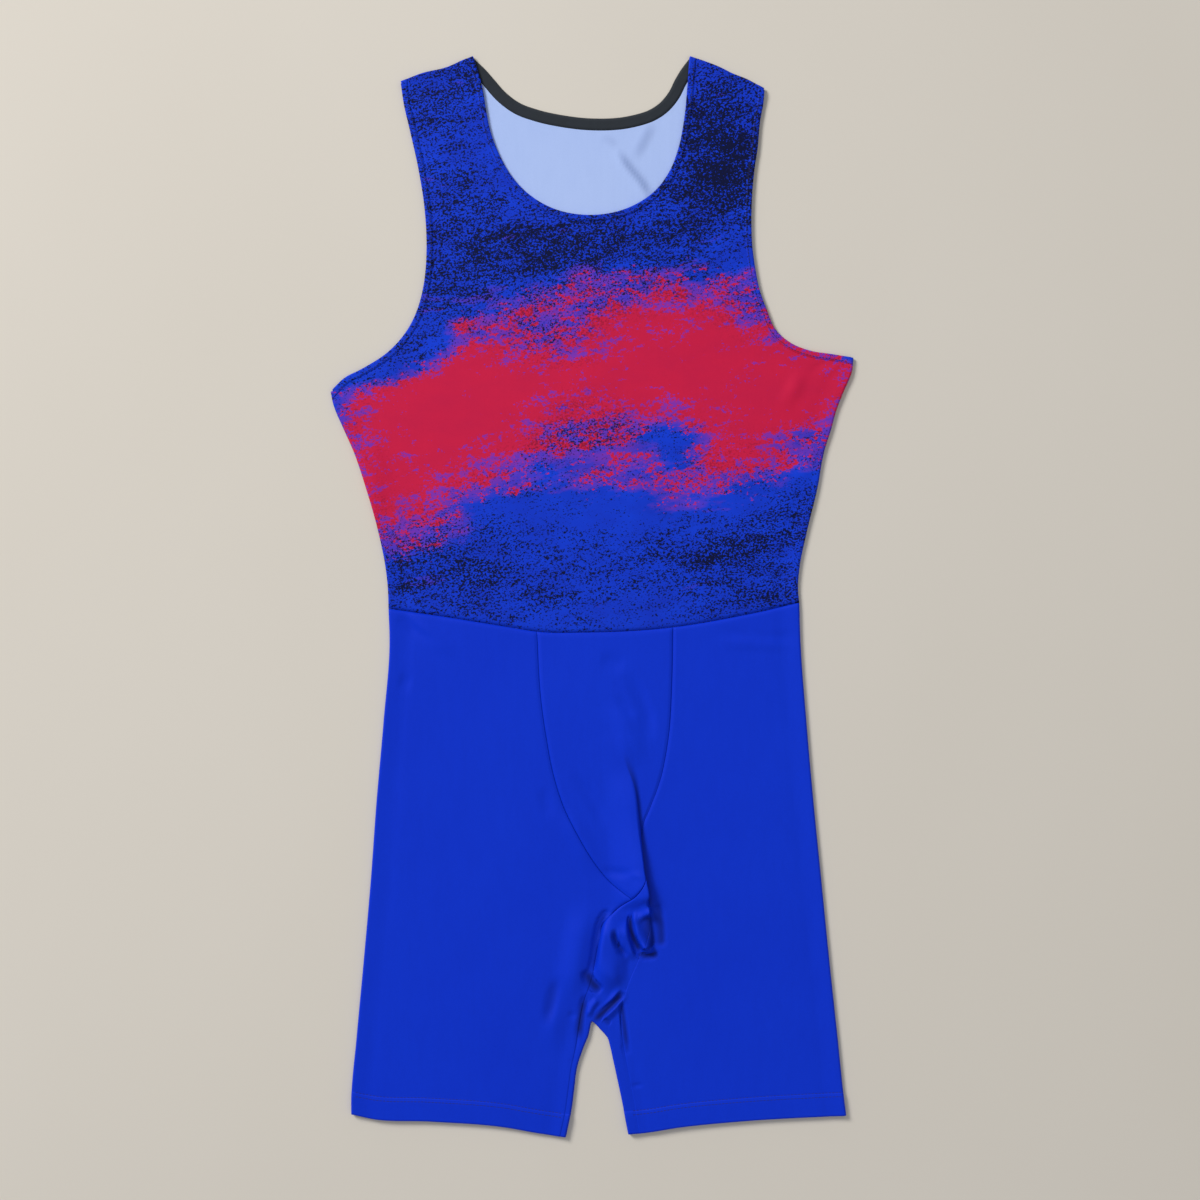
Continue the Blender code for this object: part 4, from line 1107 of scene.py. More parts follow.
@dataclass(frozen=True)
class SpatterPrint:
    """A stretch knit printed with clouds of red over blue, broken by a fine near-black spatter."""

    name: str
    ground: tuple[float, float, float, float]
    ground_deep: tuple[float, float, float, float]
    cloud: tuple[float, float, float, float]
    cloud_deep: tuple[float, float, float, float]
    spatter: tuple[float, float, float, float]
    red: tuple[Cloud, ...]
    black: tuple[Cloud, ...]
    spare_black: float
    weave: Weave = Weave(0.0011, 0.0009, 0.00014)
    roughness: float = 0.66

    @staticmethod
    def density(graph: Graph, x: Value, y: Value, clouds: Sequence[Cloud]) -> Value:
        """How thickly a colour lies at each place, from its broad patches.

        Args:
            graph: the material's nodes.
            x: the place in metres to the right.
            y: the place in metres towards the shoulders.
            clouds: the patches.

        Returns:
            The sum of the patches, each 1 times its weight at its middle and dying away softly.
        """
        total: Value | float = 0.0
        for patch_ in clouds:
            turn = np.radians(patch_.tilt)
            across_x, across_y = np.cos(turn) / patch_.wide / METRES, np.sin(turn) / patch_.wide / METRES
            up_x, up_y = -np.sin(turn) / patch_.tall / METRES, np.cos(turn) / patch_.tall / METRES
            left, low = patch_.x * METRES, patch_.y * METRES
            across = x * across_x + y * across_y - (left * across_x + low * across_y)
            up = x * up_x + y * up_y - (left * up_x + low * up_y)
            fade = (1 - (across * across + up * up)).clamped()
            total = total + fade * fade * patch_.weight
        return total

    def build(self) -> bpy.types.Material:
        """Makes the material."""
        graph = Graph(self.name)
        place = graph.place()
        slanted = graph.node("ShaderNodeVectorRotate", {"rotation_type": "Z_AXIS"}, {"Vector": place, "Angle": SLANT})
        warp = graph.node(
            "ShaderNodeTexNoise", {},
            {"Vector": graph.vector("MULTIPLY", place, (7, 13, 7)), "Scale": 1.0, "Detail": 5.0, "Roughness": 0.65},
            "Color",
        )
        moved = graph.vector("ADD", place, graph.vector("MULTIPLY", warp, (0.09, 0.05, 0.0)))
        x, y, _ = graph.split(graph.vector("ADD", moved, (-0.045, -0.025, 0.0)))
        brush = graph.noise(slanted, (15, 46, 15), 5.0, 0.7)
        wisp = graph.noise(graph.vector("ADD", slanted, (0.3, 0.9, 0.2)), (26, 88, 26), 4.0, 0.7)
        fleck = graph.noise(graph.vector("ADD", place, (0.7, 0.3, 0.1)), (110, 170, 110), 3.0, 0.75)
        grain = graph.noise(graph.vector("ADD", slanted, (0.2, 0.5, 0.4)), (420, 540, 420), 2.0, 0.75)
        speck = graph.noise(slanted, (470, 600, 470), 2.0, 0.75)
        red_field = self.density(graph, x, y, self.red) * 1.5 - 0.35
        broken = (brush - 0.5) * 2.6 + (wisp - 0.5) * 1.8 + (fleck - 0.5) * 3.2 + (grain - 0.5) * 2.6
        red_share = red_field + broken * (red_field * 1.3 + 0.75).clamped()
        red = ((red_share - 0.4) * 3.2).clamped()
        haze = ((red_field + (brush - 0.5) * 2.4) * 1.1).clamped() * 0.46
        solid_red = ((red_field - 0.5) * 1.6).clamped()
        black_field = self.density(graph, x, y, self.black) + self.spare_black
        black_share = black_field + (wisp - 0.5) * 1.8 + (fleck - 0.5) * 0.8 + (speck - 0.5) * 4.8
        black = ((black_share - 0.5) * 4.0).clamped() * (1 - solid_red * 0.94) * (1 - red * 0.5)
        tone = graph.noise(place, (24, 40, 24), 4.0, 0.6)
        blue = graph.mix((tone * 2.0 - 0.6).clamped(), self.ground, self.ground_deep)
        crimson = graph.mix((tone * 1.8 - 0.5).clamped() * 0.5, self.cloud, self.cloud_deep)
        shade = graph.mix(red.at_least(haze), blue, crimson)
        shade = graph.mix(black * 0.95, shade, self.spatter)
        graph.feed("Base Color", shade)
        graph.feed("Roughness", black * 0.06 + (self.roughness - 0.04) + tone * 0.06)
        graph.bump(knit_height(graph, place, self.weave), 0.45, self.weave.depth)
        graph.set(Specular_IOR_Level=0.12, Sheen_Weight=0.03, Sheen_Roughness=0.4)
        return graph.material


@dataclass(frozen=True)
class Thread:
    """Sewing thread, twisted and a little glossy."""

    name: str
    full: tuple[float, float, float, float]
    deep: tuple[float, float, float, float]

    def build(self) -> bpy.types.Material:
        """Makes the material."""
        graph = Graph(self.name)
        place = graph.place()
        x, y, _ = graph.split(place)
        ply = ((x + y) * (2 * np.pi / 0.0008)).sine() * 0.5 + 0.5
        wear = graph.noise(place, (300, 300, 300), 2.0)
        graph.feed("Base Color", graph.mix((ply * 0.5 + wear * 0.5).clamped(), self.full, self.deep))
        graph.feed("Roughness", wear * 0.2 + 0.4)
        graph.bump(ply, 0.4, 0.0001)
        graph.set(Specular_IOR_Level=0.35, Sheen_Weight=0.1)
        return graph.material


@dataclass(frozen=True)
class Tape:
    """A ribbed matt tape, its ribs across its run."""

    name: str
    full: tuple[float, float, float, float]
    pale: tuple[float, float, float, float]

    def build(self) -> bpy.types.Material:
        """Makes the material."""
        graph = Graph(self.name)
        place = graph.place()
        x, y, _ = graph.split(place)
        rib = ((x * 1.0 + y * 0.35) * (2 * np.pi / 0.0012)).sine() * 0.5 + 0.5
        wear = graph.noise(place, (140, 140, 140), 3.0)
        graph.feed("Base Color", graph.mix((rib * 0.4 + wear * 0.6).clamped(), self.full, self.pale))
        graph.feed("Roughness", wear * 0.15 + 0.68)
        graph.bump(rib * 0.7 + wear * 0.3, 0.6, 0.0002)
        graph.set(Specular_IOR_Level=0.2, Sheen_Weight=0.25, Sheen_Roughness=0.5)
        return graph.material


@dataclass(frozen=True)
class PaleBoard:
    """The plain pale floor."""

    name: str
    full: tuple[float, float, float, float]
    deep: tuple[float, float, float, float]

    def build(self) -> bpy.types.Material:
        """Makes the material."""
        graph = Graph(self.name)
        place = graph.place()
        cloud = graph.noise(place, (2.2, 1.4, 2.2), 3.0)
        graph.feed("Base Color", graph.mix((cloud * 1.4 - 0.2).clamped() * 0.5, self.full, self.deep))
        graph.feed("Roughness", cloud * 0.1 + 0.75)
        graph.set(Specular_IOR_Level=0.06)
        return graph.material


# How far the print's streaks are turned, in radians
SLANT = -0.16

RED_CLOUDS = (
    Cloud(-160, 140, 145, 112, 10, 1.0),
    Cloud(-100, 188, 130, 72, 14, 0.62),
    Cloud(-108, 232, 56, 46, 40, 0.5),
    Cloud(0, 200, 170, 66, 6, 0.68),
    Cloud(112, 212, 160, 78, -2, 1.0),
    Cloud(205, 188, 90, 84, -30, 0.85),
    Cloud(126, 150, 70, 54, -20, 0.4),
    Cloud(90, 272, 190, 62, 2, 0.42),
    Cloud(120, 122, 220, 66, 6, 0.46),
    Cloud(-50, 262, 190, 46, 4, 0.36),
    Cloud(-180, 66, 110, 60, -24, 0.34),
    Cloud(-10, 140, 130, 60, 10, 0.3),
    Cloud(-188, 222, 100, 40, 22, -0.6),
    Cloud(-205, 190, 90, 40, 10, 0.25),
    Cloud(76, 142, 54, 30, 0, -0.3),
    Cloud(205, 142, 60, 40, 0, -0.45),
    Cloud(240, 84, 70, 60, 0, -0.3),
)
BLACK_CLOUDS = (
    Cloud(135, 430, 90, 110, 0, 0.76),
    Cloud(105, 375, 120, 70, 12, 0.56),
    Cloud(-145, 460, 90, 90, 0, 0.48),
    Cloud(-125, 494, 80, 26, -14, 0.4),
    Cloud(-115, 350, 140, 80, -10, 0.5),
    Cloud(10, 325, 190, 50, 0, 0.56),
    Cloud(-145, 285, 90, 50, 20, 0.3),
    Cloud(-150, 30, 150, 70, -6, 0.5),
    Cloud(0, 20, 240, 76, 4, 0.3),
    Cloud(130, 48, 120, 34, 12, 0.5),
    Cloud(170, 6, 110, 60, 6, 0.4),
    Cloud(-60, 280, 180, 70, 0, 0.34),
    Cloud(-8, 156, 110, 46, 12, 0.42),
    Cloud(120, 270, 150, 46, 0, 0.3),
    Cloud(212, 84, 60, 44, 0, 0.5),
    Cloud(-188, 222, 90, 36, 22, 0.3),
    Cloud(60, 84, 140, 26, 4, -0.3),
)


class Finishes:
    """Every material of the garment and the studio."""

    def __init__(self) -> None:
        """Makes them all."""
        # The last colour of each plain knit is painted shade for its deepest creases
        royal = DyeAndShade(colour(2, 48, 204), colour(6, 57, 215), colour(2, 36, 170), colour(1, 10, 58))
        self.royal = PlainKnit("royal_knit", royal).build()
        white = DyeAndShade(colour(172, 194, 244), colour(184, 204, 249), colour(152, 175, 228), colour(120, 140, 190))
        self.white = PlainKnit("white_back", white, roughness=0.7, sheen=0.15).build()
        self.print = SpatterPrint(
            "printed_knit",
            ground=colour(9, 60, 214), ground_deep=colour(12, 47, 186),
            cloud=colour(204, 26, 68), cloud_deep=colour(180, 22, 72),
            spatter=colour(3, 6, 22),
            red=RED_CLOUDS, black=BLACK_CLOUDS, spare_black=0.08,
        ).build()
        self.tape = Tape("dark_tape", colour(24, 30, 36), colour(42, 49, 58)).build()
        self.royal_thread = Thread("royal_thread", colour(8, 34, 150), colour(4, 18, 96)).build()
        self.navy_thread = Thread("navy_thread", colour(16, 26, 92), colour(8, 12, 48)).build()
        self.floor = PaleBoard("pale_board", colour(218, 212, 202), colour(208, 201, 189)).build()


@dataclass
class StitchRow:
    """A row of straight stitches that lie on the cloth."""

    path: np.ndarray
    pitch: float = 3.2
    length: float = 2.4
    width: float = 0.62
    height: float = 0.42

    def mesh(self) -> tuple[np.ndarray, np.ndarray]:
        """The stitches' points and faces, each a low spindle along the path."""
        count = max(1, int(length_of(self.path) / self.pitch))
        middles = (np.arange(count) + 0.5) / count
        half = self.length / 2 / length_of(self.path)
        ends = at(self.path, middles - half), at(self.path, middles + half)
        along = unit(ends[1] - ends[0])
        up = np.array([0, 0, 1.0]) - along * along[:, 2:]
        up = unit(up)
        side = np.cross(up, along)
        stations = np.linspace(0, 1, SPINDLE_STATIONS)
        swell = np.sqrt(np.maximum(1 - (2 * stations - 1) ** 4, SPINDLE_TIP))
        around = np.arange(SPINDLE_SIDES) / SPINDLE_SIDES * 2 * np.pi
        centre = ends[0][:, None] + (ends[1] - ends[0])[:, None] * stations[None, :, None]
        ring = (
            side[:, None, None] * (np.cos(around) * self.width / 2)[None, None, :, None]
            + up[:, None, None] * (np.sin(around) * self.height / 2)[None, None, :, None]
        ) * swell[None, :, None, None]
        points = centre[:, :, None] + ring
        index = np.arange(points[..., 0].size).reshape(points.shape[:3])
        turned = np.roll(index, -1, axis=2)
        quads = np.stack([index[:, :-1], index[:, 1:], turned[:, 1:], turned[:, :-1]], axis=-1).reshape(-1, 4)
        caps = []
        for end, order in ((0, (3, 2, 1, 0)), (-1, (0, 1, 2, 3))):
            for first, second in ((0, 1), (3, 4)):
                pick = index[:, end][:, [first, second, (second + 1) % SPINDLE_SIDES, (first - 1) % SPINDLE_SIDES]]
                caps.append(pick[:, list(order)])
        return points.reshape(-1, 3), np.concatenate([quads, *caps])


@dataclass
class Stitching:
    """The rows of thread that hold one edge."""

    name: str
    slot: str
    rows: Sequence[StitchRow]
    thread: bpy.types.Material

    def build(self) -> bpy.types.Object:
        """Makes all the rows as one piece."""
        points, faces, count = [], [], 0
        for row in self.rows:
            row_points, row_faces = row.mesh()
            points.append(row_points)
            faces.append(row_faces + count)
            count += len(row_points)
        made = new_mesh(self.name, np.concatenate(points), np.concatenate(faces))
        made.data.materials.append(self.thread)
        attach(made, "root")
        return made


@dataclass
class Armhole:
    """One armhole: its edge, which way is into the cloth at each place, and which way is out at its ends."""

    edge: np.ndarray
    into: np.ndarray
    side_out: np.ndarray
    shoulder_out: np.ndarray

    @staticmethod
    def cut(edge: Sequence[Point], side: Sequence[Point], shoulder: Sequence[Point], hand: int) -> Armhole:
        """Works out an armhole from the tables round it.

        Args:
            edge: from the underarm to the shoulder.
            side: the bodice's side, up to the underarm.
            shoulder: away from the armhole.
            hand: 1 where the cloth is on the edge's left hand, and -1 on its right.

        Returns:
            The armhole.
        """
        curve = smooth(edge)
        points = at(curve, graded(ARMHOLE_STEPS, 0.75))
        into = hand_of(points, hand)
        side_line = smooth(side)[::-1]
        shoulder_line = smooth(shoulder)
        into[0] = unit(side_line[3] - side_line[0])
        into[-1] = unit(shoulder_line[3] - shoulder_line[0])
        side_out = unit(np.array([into[0, 1], -into[0, 0]]) * hand)
        shoulder_out = unit(np.array([-into[-1, 1], into[-1, 0]]) * hand)
        return Armhole(points, into, -side_out, -shoulder_out)


@dataclass
class Neckline:
    """One neckline, of the front or the back, with the strip that finishes it."""

    table: Sequence[Point]
    strip_width: float

    def lines(self) -> tuple[np.ndarray, np.ndarray, np.ndarray]:
        """The neckline's points, the panel's edge beside its strip, and the ways into the cloth."""
        points = at(smooth(self.table), graded(NECK_STEPS, 0.75))
        into = hand_of(points, -1)
        left = smooth(LEFT_SHOULDER)[::-1]
        right = smooth(RIGHT_SHOULDER)
        into[0] = unit(left[12] - left[0])
        into[-1] = unit(right[12] - right[0])
        reach = np.full((len(points), 1), self.strip_width + EDGE_GAP)
        reach[[0, -1]] = self.strip_width + CORNER_GAP
        return points, points + into * reach, into

    def length(self) -> float:
        """The neckline's length."""
        return length_of(smooth(self.table))


@dataclass
class SewnPiece:
    """What every piece of cloth has: its name, the solid it stands for, its finish and its cut."""

    garment: Garment
    node: str
    slot: str
    outside: bpy.types.Material
    inside: bpy.types.Material
    flat: tuple[float, float]
    area: float
    rests_on: tuple[str, ...]
    made: bpy.types.Object = field(init=False)

    def dress(self, shell: Shell, ring: bool = False) -> bpy.types.Object:
        """Builds the cloth from its two surfaces and gives it its place in the frame.

        Args:
            shell: its outer and inner points.
            ring: whether its last row meets its first.

        Returns:
            The piece.
        """
        self.made = shell.build(f"{self.node}_cloth", self.outside, self.inside, ring)
        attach(self.made, "root")
        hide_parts(self.node)
        return self.made

    def declare(self, with_pieces: Iterable[bpy.types.Object] = ()) -> None:
        """Does nothing."""


@dataclass
class BodicePanel(SewnPiece):
    """The front or back of the bodice, from the waist seam to the shoulders and the neckline."""

    neckline: Neckline = field(kw_only=True)
    lie: Lie = field(kw_only=True)
    holes: Sequence[Armhole] = field(kw_only=True)

    def build(self) -> bpy.types.Object:
        """Makes the panel."""
        step = BAND_WIDTH + EDGE_GAP
        corner = BAND_WIDTH + CORNER_GAP
        sides = []
        for side, hole in zip((LEFT_SIDE, RIGHT_SIDE), self.holes):
            line = smooth(side)
            rising = at(line, np.linspace(0, 1 - corner / length_of(line), SIDE_STEPS + 1))
            shoulder_corner = hole.edge[-1] + hole.into[-1] * corner
            sides.append(np.concatenate([rising, (hole.edge + hole.into * step)[1:-1], [shoulder_corner]]))
        _, neck, _ = self.neckline.lines()
        shares = np.linspace(0, 1, SHOULDER_STEPS + 1)
        left_top = between_x(smooth(LEFT_SHOULDER), sides[0][-1, 0], neck[0, 0], shares)
        right_top = between_x(smooth(RIGHT_SHOULDER), neck[-1, 0], sides[1][-1, 0], shares)
        top = np.concatenate([left_top, neck[1:-1], right_top])
        mixed = (shares_of(top) + np.linspace(0, 1, len(top))) / 2
        bottom = between_x(self.garment.waist, WAIST[0].x, WAIST[-1].x, mixed)
        sides[0][-1], sides[1][-1] = top[0], top[-1]
        plan = laid(relaxed(patch(bottom, top, *sides)), self.lie)
        rolled = np.arange(len(sides[0])) <= SIDE_STEPS
        for _ in sides:
            plan = plan.each(mirror).sewn(0.0, ~rolled * 1.0, EDGE_DIP).turned_down(rolled, self.lie)
        across = plan.xy.shape[1]
        fold_columns = len(TURN_STEPS) - 1 + SHOULDER_STEPS
        places = np.arange(across)
        shoulders = (places <= fold_columns) | (places >= across - 1 - fold_columns)
        plan = plan.each(swap).sewn(0.0, ~shoulders * 1.0, EDGE_DIP).turned_down(shoulders, self.lie)
        plan = plan.each(mirror).sewn(SEAM_GAP).each(swap)
        return self.dress(self.garment.surfaces(plan, self.lie))


@dataclass
class NeckStrip(SewnPiece):
    """The strip along one neckline, turned down over the shoulder line at both ends."""

    neckline: Neckline = field(kw_only=True)
    lie: Lie = field(kw_only=True)

    def build(self) -> bpy.types.Object:
        """Makes the strip."""
        points, _, into = self.neckline.lines()
        shares = np.linspace(0, 1, BAND_STEPS + 1)[:, None, None]
        plan = laid(points + into * self.neckline.strip_width * shares, self.lie)
        for _ in range(2):
            plan = plan.turned_down(np.ones(len(plan.xy)), self.lie).each(mirror)
        shell = self.garment.surfaces(plan, self.lie, BAND_WALL, BAND_LIFT)
        return self.dress(shell)


@dataclass
class ArmholeBand(SewnPiece):
    """The band that turns an armhole's raw edge: along the front, over the shoulder and down the back."""

    hole: Armhole = field(kw_only=True)

    def build(self) -> bpy.types.Object:
        """Makes the band, a ring of sections round the armhole."""
        hole = self.hole
        starts = hole.edge.copy()
        starts[0] -= hole.side_out * FOLD_RADIUS
        starts[-1] -= hole.shoulder_out * FOLD_RADIUS
        arc = np.linspace(1, -1, ARC_STEPS)[1:-1] * QUARTER
        runs = [
            (starts, hole.into, np.full(len(starts), QUARTER), hole.shoulder_out),
            ([starts[-1]] * len(arc), [hole.into[-1]] * len(arc), arc, hole.shoulder_out),
            (starts[::-1], hole.into[::-1], np.full(len(starts), -QUARTER), hole.shoulder_out),
            ([starts[0]] * len(arc), [hole.into[0]] * len(arc), arc[::-1], hole.side_out),
        ]
        widths = np.linspace(0, BAND_WIDTH, BAND_STEPS + 1)[:, None]
        xy, turns, outs = [], [], []
        for places, intos, angles, out in runs:
            for place, into, turn in zip(places, intos, angles):
                foot = place + out * FOLD_RADIUS * np.cos(turn)
                xy.append(foot + into * widths)
                turns.append(np.full((len(widths), 1), turn))
                outs.append(np.broadcast_to(out, (len(widths), 2)))
        turn = np.array(turns)
        plan = Plan(np.array(xy), turn, np.array(outs), np.zeros(turn.shape))
        shell = self.garment.surfaces(plan, Lie.ROUND, BAND_WALL, BAND_LIFT)
        return self.dress(shell, ring=True)


@dataclass
class Leg(SewnPiece):
    """One leg: its front, the fold at its outer edge and its back, as far as the seams on the inner side."""

    outer_table: Sequence[Point] = field(kw_only=True)
    front_seam: np.ndarray = field(kw_only=True)
    back_seam: np.ndarray = field(kw_only=True)
    seam_x: float = field(kw_only=True)
    front_shows: np.ndarray = field(kw_only=True)

    def build(self) -> bpy.types.Object:
        """Makes the leg."""
        fall = abs(self.front_seam[:, 1] - self.front_seam[0, 1])
        outer_edge = at(smooth(self.outer_table), fall / fall[-1])
        layers = []
        for inner, columns, waist_x, lie in (
            (self.front_seam, LEG_FRONT_COLUMNS, self.seam_x, Lie.FRONT),
            (self.back_seam, LEG_BACK_COLUMNS, BACK_SEAM_X, Lie.BACK),
        ):
            waist = between_x(self.garment.waist, waist_x, outer_edge[0, 0], columns)
            hem = between_x(self.garment.hem, inner[-1, 0], outer_edge[-1, 0], columns)
            waist[0], waist[-1], hem[0], hem[-1] = inner[0], outer_edge[0], inner[-1], outer_edge[-1]
            plan = laid(patch(waist, hem, inner, outer_edge), lie).turned_down(np.ones(len(inner)), lie)
            gap, shows = (FOLDED_SEAM_GAP, self.front_shows) if lie is Lie.FRONT else (SEAM_GAP, 1.0)
            plan = plan.each(mirror).sewn(gap, shows).each(mirror)
            layers.append(plan.each(swap).each(mirror).sewn(SEAM_GAP).each(mirror).each(swap))
        return self.dress(self.garment.surfaces(layers[0].beside(layers[1].each(mirror))))


@dataclass
class FrontPanel(SewnPiece):
    """The centre front panel between its two seams, with columns gathered towards the main crease."""

    left_seam: np.ndarray = field(kw_only=True)
    right_seam: np.ndarray = field(kw_only=True)
    foot_line: np.ndarray = field(kw_only=True)
    crease_foot: float = field(kw_only=True, default=0.62)

    def build(self) -> bpy.types.Object:
        """Makes the panel."""
        crease = smooth(FOLDS["main crease"].path, 4)
        waist_x = (LEFT_SEAM_X + RIGHT_SEAM_X) / 2
        heights = (self.left_seam[:, 1] + self.right_seam[:, 1]) / 2
        meeting = at(self.foot_line, self.crease_foot)
        path = np.concatenate(
            [[[waist_x, heights[0]]], crease[crease[:, 1] > meeting[1] + FOLD_RADIUS], [meeting]]
        )
        middle = at(path, shares_of(self.left_seam))
        middle[0] = between_x(self.garment.waist, waist_x, waist_x, [0])[0]
        halves = []
        for edges, waist_ends, foot_ends in (
            ((self.left_seam, middle), (LEFT_SEAM_X, waist_x), (0, self.crease_foot)),
            ((middle, self.right_seam), (waist_x, RIGHT_SEAM_X), (self.crease_foot, 1)),
        ):
            waist = between_x(self.garment.waist, *waist_ends, PANEL_COLUMNS)
            foot = at(self.foot_line, foot_ends[0] + (foot_ends[1] - foot_ends[0]) * PANEL_COLUMNS)
            waist[0], waist[-1], foot[0], foot[-1] = edges[0][0], edges[1][0], edges[0][-1], edges[1][-1]
            halves.append(patch(waist, foot, *edges))
        plan = laid(np.concatenate([halves[0], halves[1][:, 1:]], axis=1))
        plan = plan.sewn(SEAM_GAP).each(mirror).sewn(SEAM_GAP).each(mirror).each(swap)
        plan = plan.sewn(FOLDED_SEAM_GAP).each(mirror).sewn(SEAM_GAP).each(mirror).each(swap)
        return self.dress(self.garment.surfaces(plan))


@dataclass
class CrotchGusset(SewnPiece):
    """The strip along both inner legs and over the crotch, folded at its edge from the front to the back."""

    front_line: np.ndarray = field(kw_only=True)
    back_line: np.ndarray = field(kw_only=True)

    def build(self) -> bpy.types.Object:
        """Makes the gusset."""
        edge = self.garment.gusset_edge
        layers = []
        for seam, columns, lie in (
            (self.front_line, GUSSET_FRONT_COLUMNS, Lie.FRONT),
            (self.back_line, GUSSET_BACK_COLUMNS, Lie.BACK),
        ):
            start = edge + inward(edge, seam) * FOLD_RADIUS
            grid = [seam + (start - seam) * share for share in columns] + [edge]
            plan = laid(np.stack(grid, axis=1), lie).turned_down(np.ones(len(edge)), lie, NO_ROOM)
            gap, shows = (FOLDED_SEAM_GAP, gusset_seam_shows()) if lie is Lie.FRONT else (SEAM_GAP, 1.0)
            layers.append(plan.each(mirror).sewn(gap, shows).each(mirror))
        return self.dress(self.garment.surfaces(layers[0].beside(layers[1].each(mirror))))


class Unitard:
    """The whole garment: its sewn pieces and the stitching that lies on them."""

    def __init__(self) -> None:
        """Works out the lines that the pieces share."""
        self.garment = Garment()
        self.finishes = Finishes()
        right_shoulder = RIGHT_SHOULDER[::-1]
        self.holes = [
            Armhole.cut(LEFT_ARMHOLE, LEFT_SIDE, LEFT_SHOULDER, -1),
            Armhole.cut(RIGHT_ARMHOLE, RIGHT_SIDE, right_shoulder, 1),
        ]
        self.front_neck = Neckline(FRONT_NECK, BAND_WIDTH)
        self.back_neck = Neckline(BACK_NECK, TAPE_WIDTH)
        self.pieces: list[SewnPiece] = []

    def cloth(self, node: str, slot: str, flat: tuple[float, float], area: float, rests_on: tuple[str, ...]) -> dict[str, Any]:
        """What a sewn piece is told about itself, with the finish that its slot has."""
        outside = {
            "printed_knit": self.finishes.print, "band_knit": self.finishes.print,
            "royal_knit": self.finishes.royal, "dark_tape": self.finishes.tape,
        }[slot]
        inside = {"printed_knit": self.finishes.white, "dark_tape": self.finishes.tape}.get(slot, outside)
        return dict(
            garment=self.garment, node=node, slot=slot, outside=outside, inside=inside, flat=flat,
            area=area, rests_on=rests_on,
        )

    def bodice(self) -> list[SewnPiece]:
        """The bodice's two panels, with the strips and bands at its edges."""
        back = ("back_bodice_cloth",)
        return [
            BodicePanel(
                **self.cloth("back_bodice", "printed_knit", (0.485, 0.54), 0.177, ("floor",)),
                neckline=self.back_neck, lie=Lie.BACK, holes=self.holes,
            ),
            BodicePanel(
                **self.cloth("front_bodice", "printed_knit", (0.485, 0.54), 0.162, back),
                neckline=self.front_neck, lie=Lie.FRONT, holes=self.holes,
            ),
            NeckStrip(
                **self.cloth("front_neck_band", "band_knit", (0.012, 0.405), 0.00243, back),
                neckline=self.front_neck, lie=Lie.FRONT,
            ),
            NeckStrip(
                **self.cloth("back_neck_tape", "dark_tape", (0.011, 0.261), 0.00287, ("floor",)),
                neckline=self.back_neck, lie=Lie.BACK,
            ),
            ArmholeBand(
                **self.cloth("right_armhole_band", "band_knit", (0.012, 0.668), 0.004, ("floor",)),
                hole=self.holes[0],
            ),
            ArmholeBand(
                **self.cloth("left_armhole_band", "band_knit", (0.012, 0.627), 0.00376, ("floor",)),
                hole=self.holes[1],
            ),
        ]

    def shorts(self) -> list[SewnPiece]:
        """The two legs, the front panel and the gusset, which share the points along their seams."""
        front = gusset_line(0)
        back = gusset_line(4)
        steps = np.linspace(0, 1, SEAM_STEPS + 1)
        left_seam = at(smooth(LEFT_FRONT_SEAM), steps)
        right_seam = at(smooth(RIGHT_FRONT_SEAM), steps)
        left_tip, right_tip, back_tip = (
            row * GUSSET_ROW_STEPS for row in (GUSSET_LEFT_TIP, GUSSET_RIGHT_TIP, GUSSET_BACK_TIP)
        )
        left_front = np.concatenate([left_seam, front[:left_tip][::-1]])
        right_front = np.concatenate([right_seam, front[right_tip + 1 :]])
        centre_top = between_x(self.garment.waist, BACK_SEAM_X, BACK_SEAM_X, [0])[0]
        shows = gusset_seam_shows()
        left_shows = np.concatenate([np.full(len(left_seam), PANEL_SEAM_SHOWS), shows[:left_tip][::-1]])
        right_shows = np.concatenate([np.full(len(right_seam), PANEL_SEAM_SHOWS), shows[right_tip + 1 :]])
        left_back = self.back_seam(left_front, centre_top, back[: back_tip + 1][::-1])
        right_back = self.back_seam(right_front, centre_top, back[back_tip:])
        return [
            Leg(
                **self.cloth("right_leg", "royal_knit", (0.43, 0.49), 0.185, ("floor",)),
                outer_table=LEFT_OUTER, front_seam=left_front, back_seam=left_back, seam_x=LEFT_SEAM_X,
                front_shows=left_shows,
            ),
            Leg(
                **self.cloth("left_leg", "royal_knit", (0.41, 0.49), 0.175, ("floor",)),
                outer_table=RIGHT_OUTER, front_seam=right_front, back_seam=right_back, seam_x=RIGHT_SEAM_X,
                front_shows=right_shows,
            ),
            FrontPanel(
                **self.cloth("front_panel", "royal_knit", (0.127, 0.255), 0.0227, ("right_leg_cloth", "left_leg_cloth")),
                left_seam=left_seam, right_seam=right_seam, foot_line=front[left_tip : right_tip + 1],
            ),
            CrotchGusset(
                **self.cloth("crotch_gusset", "royal_knit", (0.06, 0.42), 0.011, ("floor",)),
                front_line=front, back_line=back,
            ),
        ]

    @staticmethod
    def back_seam(front: np.ndarray, top: np.ndarray, low: np.ndarray) -> np.ndarray:
        """The back seam of one leg, with as many points as its front seam."""
        rows = len(front) - len(low)
        share = (np.arange(rows) / rows)[:, None]
        return np.concatenate([top + (low[0] - top) * share, low])

    def on_front(self, xy: np.ndarray, lift: float = 0.1) -> np.ndarray:
        """Places seen from above, laid on the front layer's outer surface."""
        points = self.garment.front(xy)
        return points + np.array([0, 0, lift])

